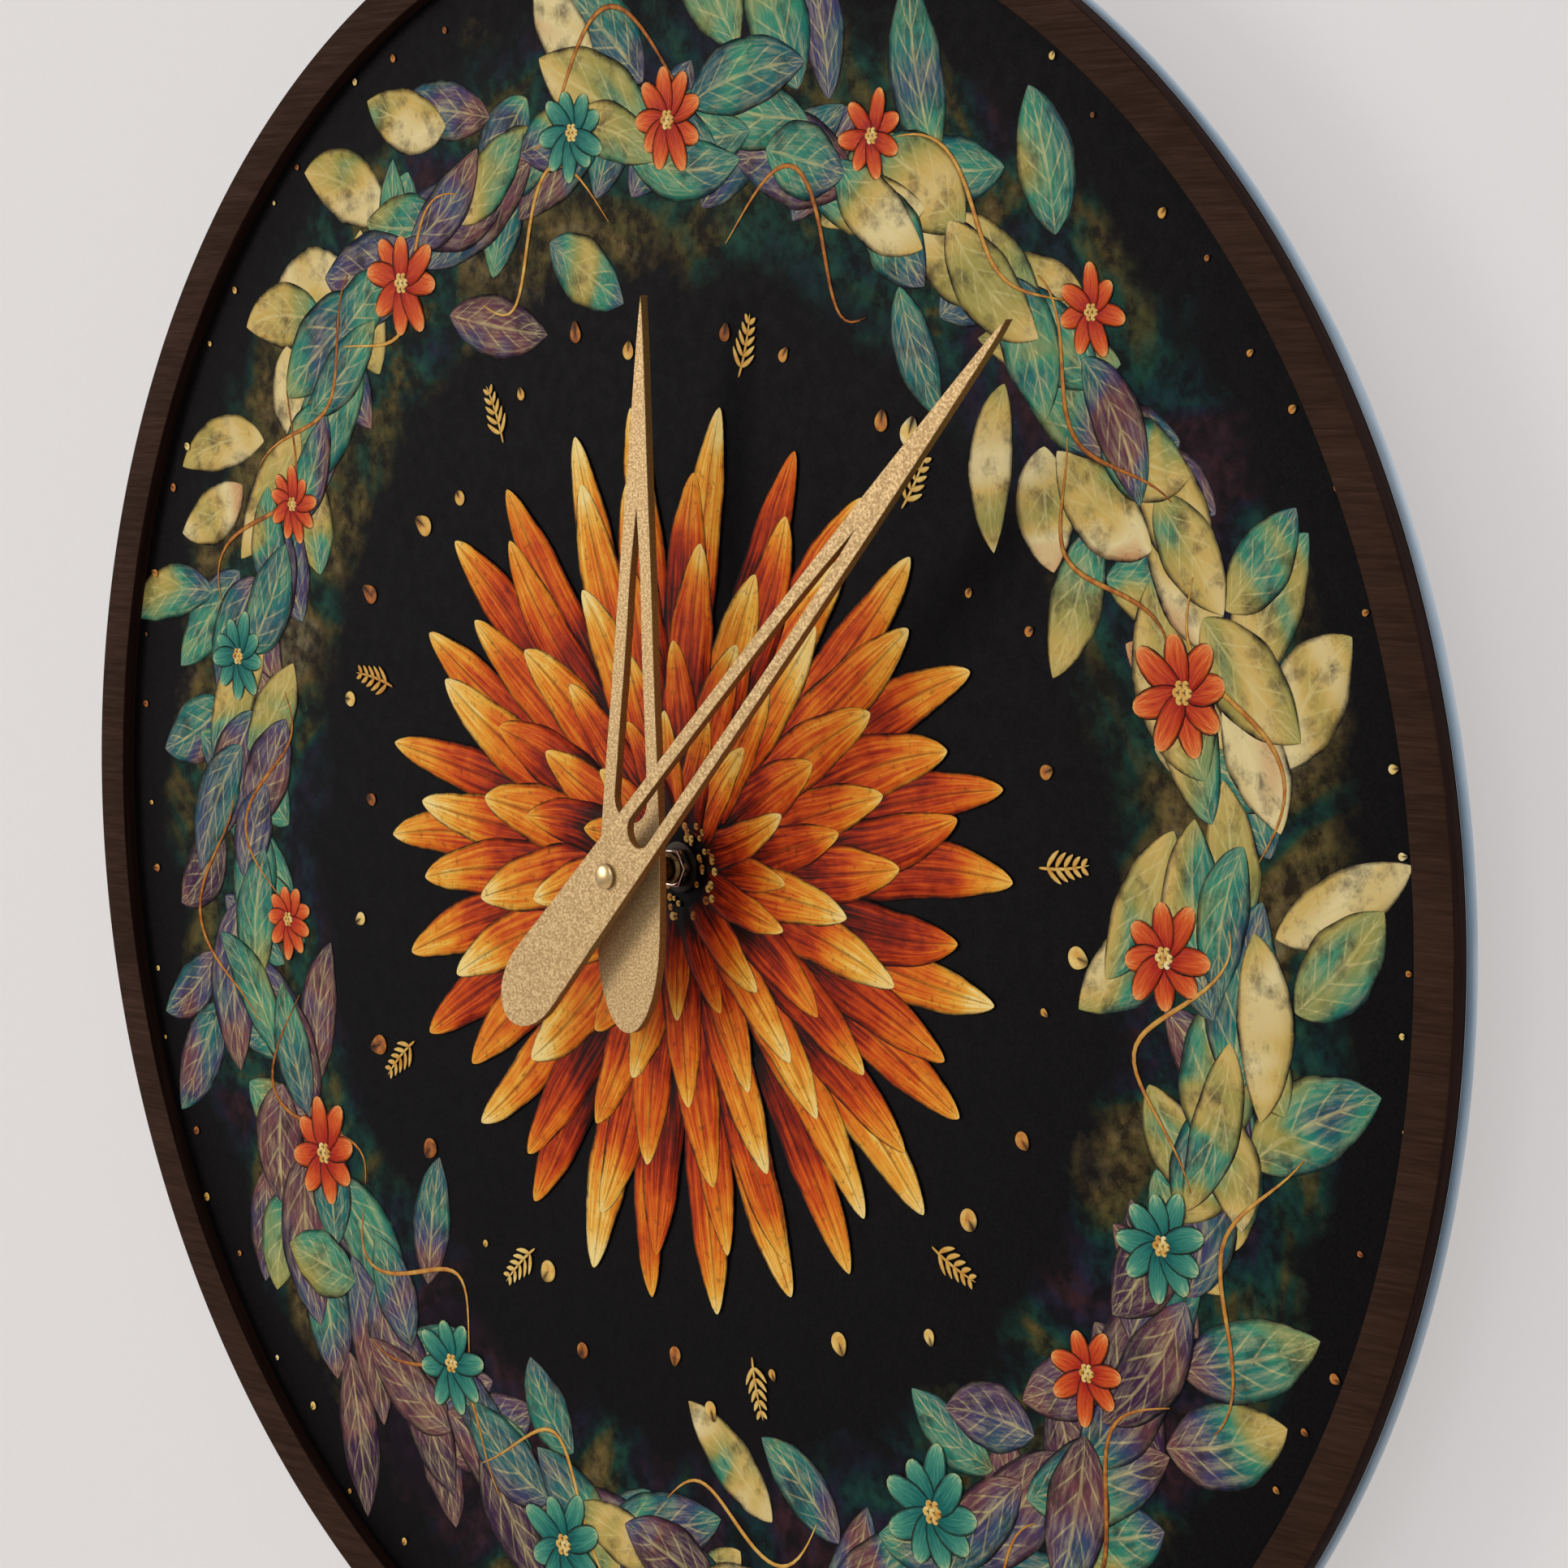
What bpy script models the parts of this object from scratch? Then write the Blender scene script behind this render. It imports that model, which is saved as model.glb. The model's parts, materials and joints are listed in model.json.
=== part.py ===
"""Round acrylic wall clock with a wooden rim, two slotted hands and a quartz movement.

The frame is metres with +Z up. The clock faces -Y and hangs on a wall in the plane y = 0, and its hub
axis runs along Y through the origin. A depth in this file is the distance from the wall towards the
viewer, so a point at depth d lies at y = -d. Outlines are drawn in the (x, z) plane as the viewer sees
it, anticlockwise.
"""
import math

import bmesh
import bpy
from mathutils import Vector

# Clearances
SEAT_GAP = 0.0003            # between pieces that rest on each other
RUN_GAP = 0.0001             # round a shaft in its bore

# Dial
DISC_DIAMETER = 0.400
DISC_THICKNESS = 0.003
RING_WIDTH = 0.0088
RING_THICKNESS = 0.0032
FILM_THICKNESS = 0.0002
DISC_HOLE_GAP = 0.0004       # round the bush

# Movement housing
CASE_WALL = 0.0015
CASE_CORNER = 0.004
INNER_CORNER = 0.002
COVER_THICKNESS = 0.0015
PLATE_THICKNESS = 0.001
BAY_WALL = 0.001             # between the battery bay and the wheels
POST_RADIUS = 0.0016
BOSS_RADIUS = 0.0014
BOSS_GAP = 0.0007            # boss to the first pinion
LEG_RADIUS = 0.0011          # legs of the middle plate that carry the stator
CORNER_INSET = 0.0029        # from the room's walls to the axes of the four posts
CLIP_HEIGHTS = (-0.0075, 0.010)
CLIP_LENGTH = 0.003
CLIP_THICKNESS = 0.001
CLIP_DEPTH = 0.0039

# Hub stack
RUBBER_THICKNESS = 0.001
RUBBER_DIAMETER = 0.014
BUSH_WALL = 0.0005
WASHER_DIAMETER = 0.0103
WASHER_THICKNESS = 0.0004
NUT_ACROSS_FLATS = 0.0074
NUT_HEIGHT = 0.002
BUSH_PAST_NUT = 0.0011
PIPE_GAP = 0.00025           # between the hour wheel's pipe and the bush
PIPE_WALL = 0.0005
ARBOR_GAP = 0.00015          # between the minute arbor and the pipe
MINUTE_ARBOR_DIAMETER = 0.0032
ARBOR_SHOULDER = 0.0003      # step down to the flatted tip that the minute hand sits on
ARBOR_TIP_FLATS = 0.002
CAP_DIAMETER = 0.0052
CAP_RIM = 0.0003             # straight rim under the cap's dome
CAP_DOME = 0.001

# Hands, measured from the hub axis
HAND_THICKNESS = 0.0018
HOUR_HAND_LIFT = 0.0124      # disc's front face to the hour hand's back
MINUTE_HAND_LIFT = 0.0184
MINUTE_TIP = 0.1564
MINUTE_TAIL = 0.045
MINUTE_TAIL_ROUND = 0.012    # length of the rounded end
MINUTE_STATIONS = ((0.150, 0.00075), (0.128, 0.00197), (0.100, 0.0033), (0.060, 0.0048), (0.0, 0.0067))
MINUTE_TAIL_HALF_WIDTH = 0.00775
MINUTE_SLOT_APEX = 0.101
MINUTE_SLOT_STATIONS = ((0.086, 0.0011), (0.070, 0.00185), (0.043, 0.0027), (0.024, 0.0032))
MINUTE_SLOT_CENTRE = 0.014
MINUTE_SLOT_RADIUS = 0.00345
HOUR_TIP = 0.1144
HOUR_TAIL = 0.0324
HOUR_TAIL_ROUND = 0.0204
HOUR_STATIONS = ((0.109, 0.00065), (0.100, 0.00145), (0.080, 0.003), (0.060, 0.0047), (0.040, 0.0062),
                 (0.020, 0.0079), (0.0, 0.0092))
HOUR_TAIL_HALF_WIDTH = 0.0095
HOUR_SLOT_APEX = 0.0726
HOUR_SLOT_STATIONS = ((0.060, 0.00145), (0.050, 0.0021), (0.040, 0.0028), (0.030, 0.0037))
HOUR_SLOT_CENTRE = 0.015
HOUR_SLOT_RADIUS = 0.0049
COLLET_WALL = 0.00105
COLLET_LENGTH = 0.0014
HANDS_MINUTES = 7.75         # minutes past twelve that the hands show

# Wheels. A level is the depth of a wheel's rear face, and the levels rise from the cover to the dial.
REAR_ROOM = 0.002            # cover to the first wheel
FRONT_ROOM = 0.0004          # last pinion to the case's floor
LEVEL_STEPS = 6              # from the first wheel to the last, one of them over the middle plate
WHEEL_THICKNESS = 0.0008
PINION_OVERHANG = 0.0002     # a pinion's length past each face of the wheel it drives
PIVOT_RADIUS = 0.00035
STAFF_RADIUS = 0.0005
TOOTH_SHARE = 0.38           # tooth thickness over pitch, the rest is gap and play
ADDENDUM = 0.68              # in modules
DEDENDUM = 1.05
FLANK_ANGLE = math.radians(20)
ROTOR_PINION = 8
INTERMEDIATE_WHEEL = 48
INTERMEDIATE_PINION = 12
SECOND_WHEEL = 60
SECOND_PINION = 8
THIRD_WHEEL = 60
THIRD_PINION = 8
CENTRE_WHEEL = 64
CANNON_PINION = 12
MOTION_WHEEL = 36
MOTION_PINION = 10
HOUR_WHEEL = 40
KNOB_PINION = 18
TRAIN_ARM = 0.0108           # hub to the third staff and to the intermediate staff
THIRD_BEARING = math.radians(135)
INTERMEDIATE_BEARING = math.radians(45)
ROTOR_ARM = 0.0084
ROTOR_BEARING = math.radians(20)
CANNON_RIM = 0.00013         # minute arbor to the root of the teeth round it
MOTION_BEARING = math.radians(190)
KNOB_BEARING = math.radians(170)
BAY_CLEARANCE = 0.0011       # widest wheel to the battery bay's wall
MAGNET_RADIUS = 0.003
MAGNET_COLLAR = 0.0004       # rotor's pinion to its magnet
MAGNET_GAP = 0.001           # magnet to the middle plate

# Setting knob, sunk in a well of the rear cover
KNOB_RADIUS = 0.0072
KNOB_HEIGHT = 0.0023
KNOB_SHAFT_RADIUS = 0.0015
KNOB_FLUTES = 20
FLUTE_DEPTH = 0.0004
WELL_GAP = 0.0006            # round the knob
WELL_WALL = 0.001

# Battery and contacts
BATTERY_RADIUS = 0.00695
BATTERY_LENGTH = 0.0493
BATTERY_NUB_RADIUS = 0.00275
BATTERY_NUB_LENGTH = 0.0012
CONTACT_SHEET = 0.0003
CONTACT_WIDTH = 0.003
CONTACT_REACH = 0.0057       # from the cell's axis to each end of the part that touches it
CONTACT_SPRING = 0.0007      # least bulge of the negative strip towards the cell

# Stepping motor and circuit
STATOR_THICKNESS = 0.0008
ROTOR_GAP = 0.0005           # between the magnet and the stator's bore
STATOR_RIM = 0.0022          # iron left of the rotor's bore
STATOR_SIDE_GAP = 0.0012     # from the right leg to the contact strip
STATOR_LEG = 0.003
YOKE_WALL = 0.001            # iron above and below the rotor's bore
COIL_TOP_GAP = 0.0018        # coil to the contact strip above it
COIL_GAP = 0.0006            # coil to the cover and to the middle plate
CORE_WIDTH = 0.0024
BOBBIN_RADIUS = 0.002
BOBBIN_FLANGE = 0.0005
FLANGE_PAST_WINDING = 0.0004
BOARD_THICKNESS = 0.0008
BOARD_ROOM = 0.0017          # cover to the circuit board
BOARD_WIDTH = 0.0234
BOARD_HEIGHT = 0.0122
CHIP_RADIUS = 0.0026
CHIP_OFFSET = -0.0047        # from the board's middle
CHIP_HEIGHT = 0.0007
CRYSTAL_RADIUS = 0.001
CRYSTAL_LENGTH = 0.006
CRYSTAL_OFFSET = 0.003
BOARD_POST_OFFSET = 0.0078

# Hanging loop above the housing
LOOP_WIDTH = 0.022
LOOP_THICKNESS = 0.003
LOOP_WALL = 0.0025           # above the slot
NAIL_HOLE_RISE = 0.0055      # housing's top to the middle of the hole for the nail's head
NAIL_HOLE_RADIUS = 0.004
NAIL_SLOT_WIDTH = 0.0046
NAIL_SLOT_RISE = 0.0042

# Facets
DISC_FACETS = 96
ROUND_FACETS = 24
FINE_FACETS = 12
BEND_STEPS = 5               # a quarter turn of a rounded corner
HAND_STEPS = 4               # points between two stations of a hand
SLOT_STEPS = 3
TAIL_STEPS = 12
DOME_STEPS = 3
BULGE_STEPS = 6
SHARP_ANGLE = math.radians(30)

# Diameters that follow from the sizes above, from the minute arbor outwards
ARBOR_TIP_DIAMETER = MINUTE_ARBOR_DIAMETER - 2 * ARBOR_SHOULDER
HOUR_PIPE_BORE = MINUTE_ARBOR_DIAMETER + 2 * ARBOR_GAP
HOUR_PIPE_DIAMETER = HOUR_PIPE_BORE + 2 * PIPE_WALL
BUSH_BORE = HOUR_PIPE_DIAMETER + 2 * PIPE_GAP
BUSH_DIAMETER = BUSH_BORE + 2 * BUSH_WALL
DISC_HOLE_DIAMETER = BUSH_DIAMETER + 2 * DISC_HOLE_GAP
COLLET_DIAMETER = HOUR_PIPE_DIAMETER + 2 * RUN_GAP + 2 * COLLET_WALL

# Depths that follow
CASE_DEPTH = CASE_WALL + 2 * BATTERY_RADIUS + 2 * SEAT_GAP
FLOOR_INNER = CASE_DEPTH - CASE_WALL
RUBBER_NEAR = CASE_DEPTH + SEAT_GAP
DISC_NEAR = RUBBER_NEAR + RUBBER_THICKNESS + SEAT_GAP
DISC_FRONT = DISC_NEAR + DISC_THICKNESS
SKIN_NEAR = DISC_FRONT + SEAT_GAP
SKIN_FRONT = SKIN_NEAR + FILM_THICKNESS
WASHER_NEAR = SKIN_FRONT + SEAT_GAP
NUT_NEAR = WASHER_NEAR + WASHER_THICKNESS + SEAT_GAP
NUT_FRONT = NUT_NEAR + NUT_HEIGHT
BUSH_FRONT = NUT_FRONT + BUSH_PAST_NUT
HOUR_HAND_NEAR = DISC_FRONT + HOUR_HAND_LIFT
HOUR_HAND_FRONT = HOUR_HAND_NEAR + HAND_THICKNESS
MINUTE_HAND_NEAR = DISC_FRONT + MINUTE_HAND_LIFT
MINUTE_HAND_FRONT = MINUTE_HAND_NEAR + HAND_THICKNESS
CAP_NEAR = MINUTE_HAND_FRONT + SEAT_GAP

# Levels from the first wheel to the last, evenly spaced, with the middle plate among them
INTERMEDIATE_LEVEL = COVER_THICKNESS + REAR_ROOM
HOUR_LEVEL = FLOOR_INNER - FRONT_ROOM - PINION_OVERHANG - WHEEL_THICKNESS
LEVEL_STEP = (HOUR_LEVEL - INTERMEDIATE_LEVEL) / LEVEL_STEPS
SECOND_LEVEL = INTERMEDIATE_LEVEL + LEVEL_STEP
THIRD_LEVEL = SECOND_LEVEL + LEVEL_STEP
CENTRE_LEVEL = THIRD_LEVEL + LEVEL_STEP
PLATE_LEVEL = CENTRE_LEVEL + LEVEL_STEP
MOTION_LEVEL = PLATE_LEVEL + LEVEL_STEP
PLATE_FRONT = PLATE_LEVEL + PLATE_THICKNESS
PIVOT_REAR = COVER_THICKNESS + SEAT_GAP * 2
PIVOT_PLATE = PLATE_FRONT - SEAT_GAP
PIVOT_FLOOR = FLOOR_INNER + CASE_WALL / 3

# Motor and board between the cover and the middle plate
COIL_DEPTH = (COVER_THICKNESS + PLATE_LEVEL) / 2
BOBBIN_FLANGE_RADIUS = COIL_DEPTH - COVER_THICKNESS - COIL_GAP
WINDING_RADIUS = BOBBIN_FLANGE_RADIUS - FLANGE_PAST_WINDING
STATOR_LEVEL = COIL_DEPTH + STATOR_THICKNESS / 2 + SEAT_GAP
BOARD_LEVEL = COVER_THICKNESS + BOARD_ROOM
STRIP_NEAR = BOARD_LEVEL + BOARD_THICKNESS + SEAT_GAP
WELL_FLOOR = SEAT_GAP + KNOB_HEIGHT + SEAT_GAP
MINUTE_ANGLE = math.tau * HANDS_MINUTES / 60
HUB = (0.0, 0.0)


def polar(radius, angle, centre=HUB):
    """The point at a radius and an anticlockwise angle round a centre."""
    return (centre[0] + radius * math.cos(angle), centre[1] + radius * math.sin(angle))


def module_for(distance, teeth_a, teeth_b):
    """The module at which two gears mesh at a distance."""
    return 2 * distance / (teeth_a + teeth_b)


# Modules and axes of the wheels
ROTOR_MODULE = module_for(ROTOR_ARM, ROTOR_PINION, INTERMEDIATE_WHEEL)
INTERMEDIATE_MODULE = module_for(TRAIN_ARM, INTERMEDIATE_PINION, SECOND_WHEEL)
SECOND_MODULE = module_for(TRAIN_ARM, SECOND_PINION, THIRD_WHEEL)
THIRD_MODULE = module_for(TRAIN_ARM, THIRD_PINION, CENTRE_WHEEL)
CANNON_MODULE = (MINUTE_ARBOR_DIAMETER / 2 + CANNON_RIM) / (CANNON_PINION / 2 - DEDENDUM)
MOTION_ARM = CANNON_MODULE * (CANNON_PINION + MOTION_WHEEL) / 2
HOUR_MODULE = module_for(MOTION_ARM, MOTION_PINION, HOUR_WHEEL)
KNOB_ARM = CANNON_MODULE * (MOTION_WHEEL + KNOB_PINION) / 2
THIRD_AXIS = polar(TRAIN_ARM, THIRD_BEARING)
INTERMEDIATE_AXIS = polar(TRAIN_ARM, INTERMEDIATE_BEARING)
ROTOR_AXIS = polar(ROTOR_ARM, ROTOR_BEARING, INTERMEDIATE_AXIS)
MOTION_AXIS = polar(MOTION_ARM, MOTION_BEARING)
KNOB_AXIS = polar(KNOB_ARM, KNOB_BEARING, MOTION_AXIS)

# The case is as wide as the cell with its contacts, the knob's well or the widest wheel over the bay needs
CELL_ROOM = BATTERY_LENGTH + BATTERY_NUB_LENGTH + CONTACT_SPRING + 2 * CONTACT_SHEET + 4 * SEAT_GAP
WELL_RADIUS = KNOB_RADIUS + WELL_GAP
WELL_REACH = RUN_GAP + WELL_RADIUS + WELL_WALL - KNOB_AXIS[0]
BAY_REACH = BAY_WALL + 2 * BATTERY_RADIUS + 2 * SEAT_GAP
WHEEL_REACH = (CENTRE_WHEEL / 2 + ADDENDUM) * THIRD_MODULE + BAY_CLEARANCE
CASE_INNER = max(CELL_ROOM / 2, WELL_REACH, WHEEL_REACH + BAY_REACH)
CASE_HALF = CASE_INNER + CASE_WALL
STRIP_INNER = CASE_INNER - SEAT_GAP - CONTACT_SHEET
ROOM_BOTTOM = BAY_REACH - CASE_INNER
BAY_TOP = ROOM_BOTTOM - BAY_WALL
BATTERY_HEIGHT = -CASE_INNER + BATTERY_RADIUS + SEAT_GAP
BATTERY_DEPTH = FLOOR_INNER - SEAT_GAP - BATTERY_RADIUS
CELL_RIGHT = STRIP_INNER - SEAT_GAP
CELL_LEFT = CELL_RIGHT - BATTERY_NUB_LENGTH - BATTERY_LENGTH
BOARD_TOP = STRIP_INNER - 2 * SEAT_GAP
BOARD_CENTRE = (-BOARD_TOP + BOARD_WIDTH / 2, BOARD_TOP - BOARD_HEIGHT / 2)
STATOR_BORE = MAGNET_RADIUS + ROTOR_GAP
STATOR_LEFT = ROTOR_AXIS[0] - STATOR_BORE - STATOR_RIM
STATOR_RIGHT = STRIP_INNER - STATOR_SIDE_GAP
LEGS_INNER = (STATOR_LEFT + STATOR_LEG, STATOR_RIGHT - STATOR_LEG)
COIL_HEIGHT = STRIP_INNER - COIL_TOP_GAP - BOBBIN_FLANGE_RADIUS
COIL_LENGTH = LEGS_INNER[1] - LEGS_INNER[0] - 2 * SEAT_GAP


def circle(radius, facets, centre=HUB):
    """A regular outline on a circle."""
    return [polar(radius, math.tau * k / facets, centre) for k in range(facets)]


def arc(radius, start, end, steps, centre):
    """Points from one angle to another, both ends included."""
    return [polar(radius, start + (end - start) * k / steps, centre) for k in range(steps + 1)]


def rectangle(left, bottom, right, top):
    return [(left, bottom), (right, bottom), (right, top), (left, top)]


def rounded_rectangle(left, bottom, right, top, corner):
    """A rectangle with round corners."""
    centres = ((right - corner, top - corner), (left + corner, top - corner),
               (left + corner, bottom + corner), (right - corner, bottom + corner))
    points = []
    for k, centre in enumerate(centres):
        points += arc(corner, math.pi / 2 * k, math.pi / 2 * (k + 1), BEND_STEPS, centre)
    return points


def gear_outline(teeth, module, phase):
    """Straight-flanked teeth with play, the first one centred on the phase angle."""
    pitch_radius = teeth * module / 2
    tip = pitch_radius + ADDENDUM * module
    root = pitch_radius - DEDENDUM * module
    half_tooth = TOOTH_SHARE * math.pi * module / 2
    tip_half = (half_tooth - ADDENDUM * module * math.tan(FLANK_ANGLE)) / tip
    root_half = (half_tooth + DEDENDUM * module * math.tan(FLANK_ANGLE)) / root
    points = []
    for k in range(teeth):
        middle = phase + math.tau * k / teeth
        points += [polar(root, middle - root_half), polar(tip, middle - tip_half),
                   polar(tip, middle + tip_half), polar(root, middle + root_half)]
    return points


def meshing_phase(phase, teeth, other_teeth, bearing):
    """The phase of a gear whose gap faces the tooth of the gear that it meshes with."""
    return bearing + math.pi - (phase - bearing) * teeth / other_teeth + math.pi / other_teeth


def material(name, colour, roughness, metallic=0.0, transmission=0.0):
    """A Principled material."""
    made = bpy.data.materials.new(name)
    made.use_nodes = True
    shader = made.node_tree.nodes["Principled BSDF"]
    shader.inputs["Base Color"].default_value = (*colour, 1.0)
    shader.inputs["Roughness"].default_value = roughness
    shader.inputs["Metallic"].default_value = metallic
    shader.inputs["Transmission Weight"].default_value = transmission
    made.diffuse_color = (*colour, 1.0)
    return made


def loop_verts(mesh, outline, depth):
    return [mesh.verts.new((x, -depth, z)) for x, z in outline]


def loop_edges(mesh, verts):
    """The closed run of edges through some vertices, made where they are missing."""
    edges = []
    for a, b in zip(verts, verts[1:] + verts[:1]):
        edges.append(mesh.edges.get((a, b)) or mesh.edges.new((a, b)))
    return edges


def flat_fill(mesh, loops):
    """Fill the flat region between an outer loop and any loops inside it."""
    edges = [edge for verts in loops for edge in loop_edges(mesh, verts)]
    bmesh.ops.triangle_fill(mesh, use_beauty=True, use_dissolve=False, edges=edges)


def wall_fill(mesh, near, far):
    """Quads between two loops of the same outline at two depths."""
    for k in range(len(near)):
        following = (k + 1) % len(near)
        mesh.faces.new((near[k], near[following], far[following], far[k]))


def smooth(data):
    """Shade round stretches smooth and keep the edges sharp."""
    data.shade_smooth()
    data.set_sharp_from_angle(angle=SHARP_ANGLE)


def finish_object(name, mesh, finish, axis):
    """Turn a built mesh into an object whose origin is on its axis."""
    bmesh.ops.recalc_face_normals(mesh, faces=mesh.faces)
    data = bpy.data.meshes.new(name)
    mesh.to_mesh(data)
    mesh.free()
    smooth(data)
    if finish:
        data.materials.append(finish)
    made = bpy.data.objects.new(name, data)
    made.location = (axis[0], 0.0, axis[1])
    bpy.context.scene.collection.objects.link(made)
    return made


def stack(name, sections, finish=None, axis=HUB, bores=()):
    """One solid of stacked sections, each (outline, near depth, far depth), the depths meeting.

    Neighbouring outlines lie one inside the other. A bore is an outline that runs through all sections.
    """
    mesh = bmesh.new()
    near_bores = [loop_verts(mesh, bore, sections[0][1]) for bore in bores]
    far_bores = [loop_verts(mesh, bore, sections[-1][2]) for bore in bores]
    previous = None
    for outline, near, far in sections:
        near_loop = loop_verts(mesh, outline, near)
        far_loop = loop_verts(mesh, outline, far)
        wall_fill(mesh, near_loop, far_loop)
        flat_fill(mesh, [near_loop, previous] if previous else [near_loop] + near_bores)
        previous = far_loop
    flat_fill(mesh, [previous] + far_bores)
    for near_loop, far_loop in zip(near_bores, far_bores):
        wall_fill(mesh, near_loop, far_loop)
    return finish_object(name, mesh, finish, axis)


def plate(name, outline, near, far, finish=None, axis=HUB, holes=()):
    """A flat piece of one outline with holes through it."""
    return stack(name, [(outline, near, far)], finish, axis, holes)


def boolean(target, operation, others):
    """Join or cut a solid with others, which are used up."""
    for other in others:
        step = target.modifiers.new(operation.title(), "BOOLEAN")
        step.operation = operation
        step.object = other
        other.hide_render = True
        other.display_type = "WIRE"
    evaluated = target.evaluated_get(bpy.context.evaluated_depsgraph_get())
    result = bpy.data.meshes.new_from_object(evaluated)
    smooth(result)
    target.modifiers.clear()
    target.data = result
    for other in others:
        bpy.data.objects.remove(other)
    return target


def lay_along_x(made, x, z, depth):
    """Turn a piece stacked along the depth so that it runs to the right from x."""
    made.rotation_euler = (0.0, 0.0, math.pi / 2)
    made.location = (x, -depth, z)
    return made


def smooth_widths(stations, steps):
    """Stations (distance, half width) joined by a Catmull-Rom curve."""
    ends = [stations[0]] + list(stations) + [stations[-1]]
    points = []
    for p0, p1, p2, p3 in zip(ends, ends[1:], ends[2:], ends[3:]):
        for k in range(steps):
            t = k / steps
            weights = (-t + 2 * t**2 - t**3, 2 - 5 * t**2 + 3 * t**3, t + 4 * t**2 - 3 * t**3, t**3 - t**2)
            points.append(tuple(sum(w * p[i] for w, p in zip(weights, (p0, p1, p2, p3))) / 2 for i in (0, 1)))
    points.append(stations[-1])
    return points


def mirrored(right_side, bottom, apex):
    """A closed outline from its right side, top to bottom, a bottom run and its apex."""
    left_side = [(-x, z) for x, z in reversed(right_side)]
    return [apex] + left_side[::-1] + [(-x, z) for x, z in bottom] + right_side[::-1]


def hand_outline(tip, stations, tail, tail_round, tail_half_width):
    """The outer edge of a hand that points up: a long lance that widens into a rounded tail."""
    shoulder = tail_round - tail
    sides = smooth_widths(((tip, 0.0),) + stations + ((shoulder, tail_half_width),), HAND_STEPS)[1:]
    right_side = [(half_width, along) for along, half_width in sides]
    turns = [math.pi * k / TAIL_STEPS for k in range(1, TAIL_STEPS)]
    bottom = [(tail_half_width * math.cos(turn), shoulder - tail_round * math.sin(turn)) for turn in turns]
    return mirrored(right_side, bottom, (0.0, tip))


def slot_outline(apex, stations, centre, radius):
    """The long slot between a hand's arms: a point at the top and a round end at the hub."""
    sides = smooth_widths(((apex, 0.0),) + stations + ((centre, radius),), SLOT_STEPS)[1:]
    right_side = [(half_width, along) for along, half_width in sides]
    bottom = [polar(radius, -math.pi * k / TAIL_STEPS, (0.0, centre)) for k in range(1, TAIL_STEPS)]
    return mirrored(right_side, bottom, (0.0, apex))


def flatted_circle(radius, half_flats, turn=0.0):
    """A round section with two flats, left and right before it is turned."""
    reach = math.acos(half_flats / radius)
    top = arc(radius, turn + reach, turn + math.pi - reach, BEND_STEPS, HUB)
    return top + [(-x, -z) for x, z in top]


def staff(radius, near, far):
    """A section of a wheel's staff."""
    return (circle(radius, FINE_FACETS), near, far)


def wheel_section(teeth, module, phase, level):
    return (gear_outline(teeth, module, phase), level, level + WHEEL_THICKNESS)


def pinion_section(teeth, module, phase, driven_level):
    """A pinion as long as the wheel it meshes with, and a little more at each end."""
    near = driven_level - PINION_OVERHANG
    return (gear_outline(teeth, module, phase), near, driven_level + WHEEL_THICKNESS + PINION_OVERHANG)


def make_materials():
    return {
        "walnut": material("stained_walnut", (0.033, 0.016, 0.010), 0.55),
        "clear": material("clear_acrylic", (0.80, 0.90, 0.93), 0.05, transmission=0.9),
        "skin": material("printed_black_skin", (0.012, 0.011, 0.012), 0.60),
        "gold": material("champagne_gold", (0.62, 0.45, 0.23), 0.40, 0.8),
        "bright": material("bright_nickel", (0.55, 0.50, 0.44), 0.20, 1.0),
        "cap": material("polished_gold", (0.72, 0.53, 0.25), 0.22, 1.0),
        "brass": material("brass", (0.60, 0.43, 0.16), 0.35, 1.0),
        "steel": material("steel", (0.45, 0.45, 0.45), 0.35, 1.0),
        "rubber": material("black_rubber", (0.02, 0.02, 0.02), 0.80),
        "housing": material("black_abs", (0.022, 0.022, 0.024), 0.50),
        "cover": material("rear_abs", (0.030, 0.030, 0.032), 0.55),
        "plate": material("white_abs", (0.62, 0.62, 0.60), 0.50),
        "wheel": material("white_acetal", (0.78, 0.77, 0.72), 0.45),
        "second": material("second_acetal", (0.70, 0.72, 0.72), 0.45),
        "third": material("third_acetal", (0.74, 0.70, 0.62), 0.45),
        "centre": material("centre_brass", (0.58, 0.42, 0.17), 0.35, 1.0),
        "motion": material("motion_acetal", (0.72, 0.72, 0.70), 0.45),
        "hour": material("hour_brass", (0.60, 0.44, 0.18), 0.35, 1.0),
        "knob": material("knob_acetal", (0.66, 0.05, 0.04), 0.45),
        "magnet": material("rotor_magnet", (0.10, 0.10, 0.11), 0.40, 0.6),
        "lamination": material("silicon_steel", (0.38, 0.39, 0.41), 0.40, 1.0),
        "core": material("core_steel", (0.42, 0.43, 0.45), 0.40, 1.0),
        "bobbin": material("bobbin_nylon", (0.06, 0.06, 0.06), 0.50),
        "copper": material("enamelled_copper", (0.45, 0.16, 0.06), 0.35, 1.0),
        "board": material("circuit_laminate", (0.02, 0.12, 0.05), 0.45),
        "can": material("crystal_can", (0.60, 0.60, 0.58), 0.25, 1.0),
        "cell": material("cell_jacket", (0.05, 0.05, 0.06), 0.40, 0.2),
        "positive": material("positive_strip", (0.52, 0.51, 0.48), 0.30, 1.0),
        "negative": material("negative_strip", (0.50, 0.50, 0.48), 0.30, 1.0),
        "minute_arbor": material("arbor_brass", (0.61, 0.45, 0.18), 0.30, 1.0),
        "hour_gold": material("hour_champagne_gold", (0.62, 0.45, 0.23), 0.40, 0.8),
        "collet": material("collet_brass", (0.58, 0.42, 0.16), 0.35, 1.0),
    }


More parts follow.
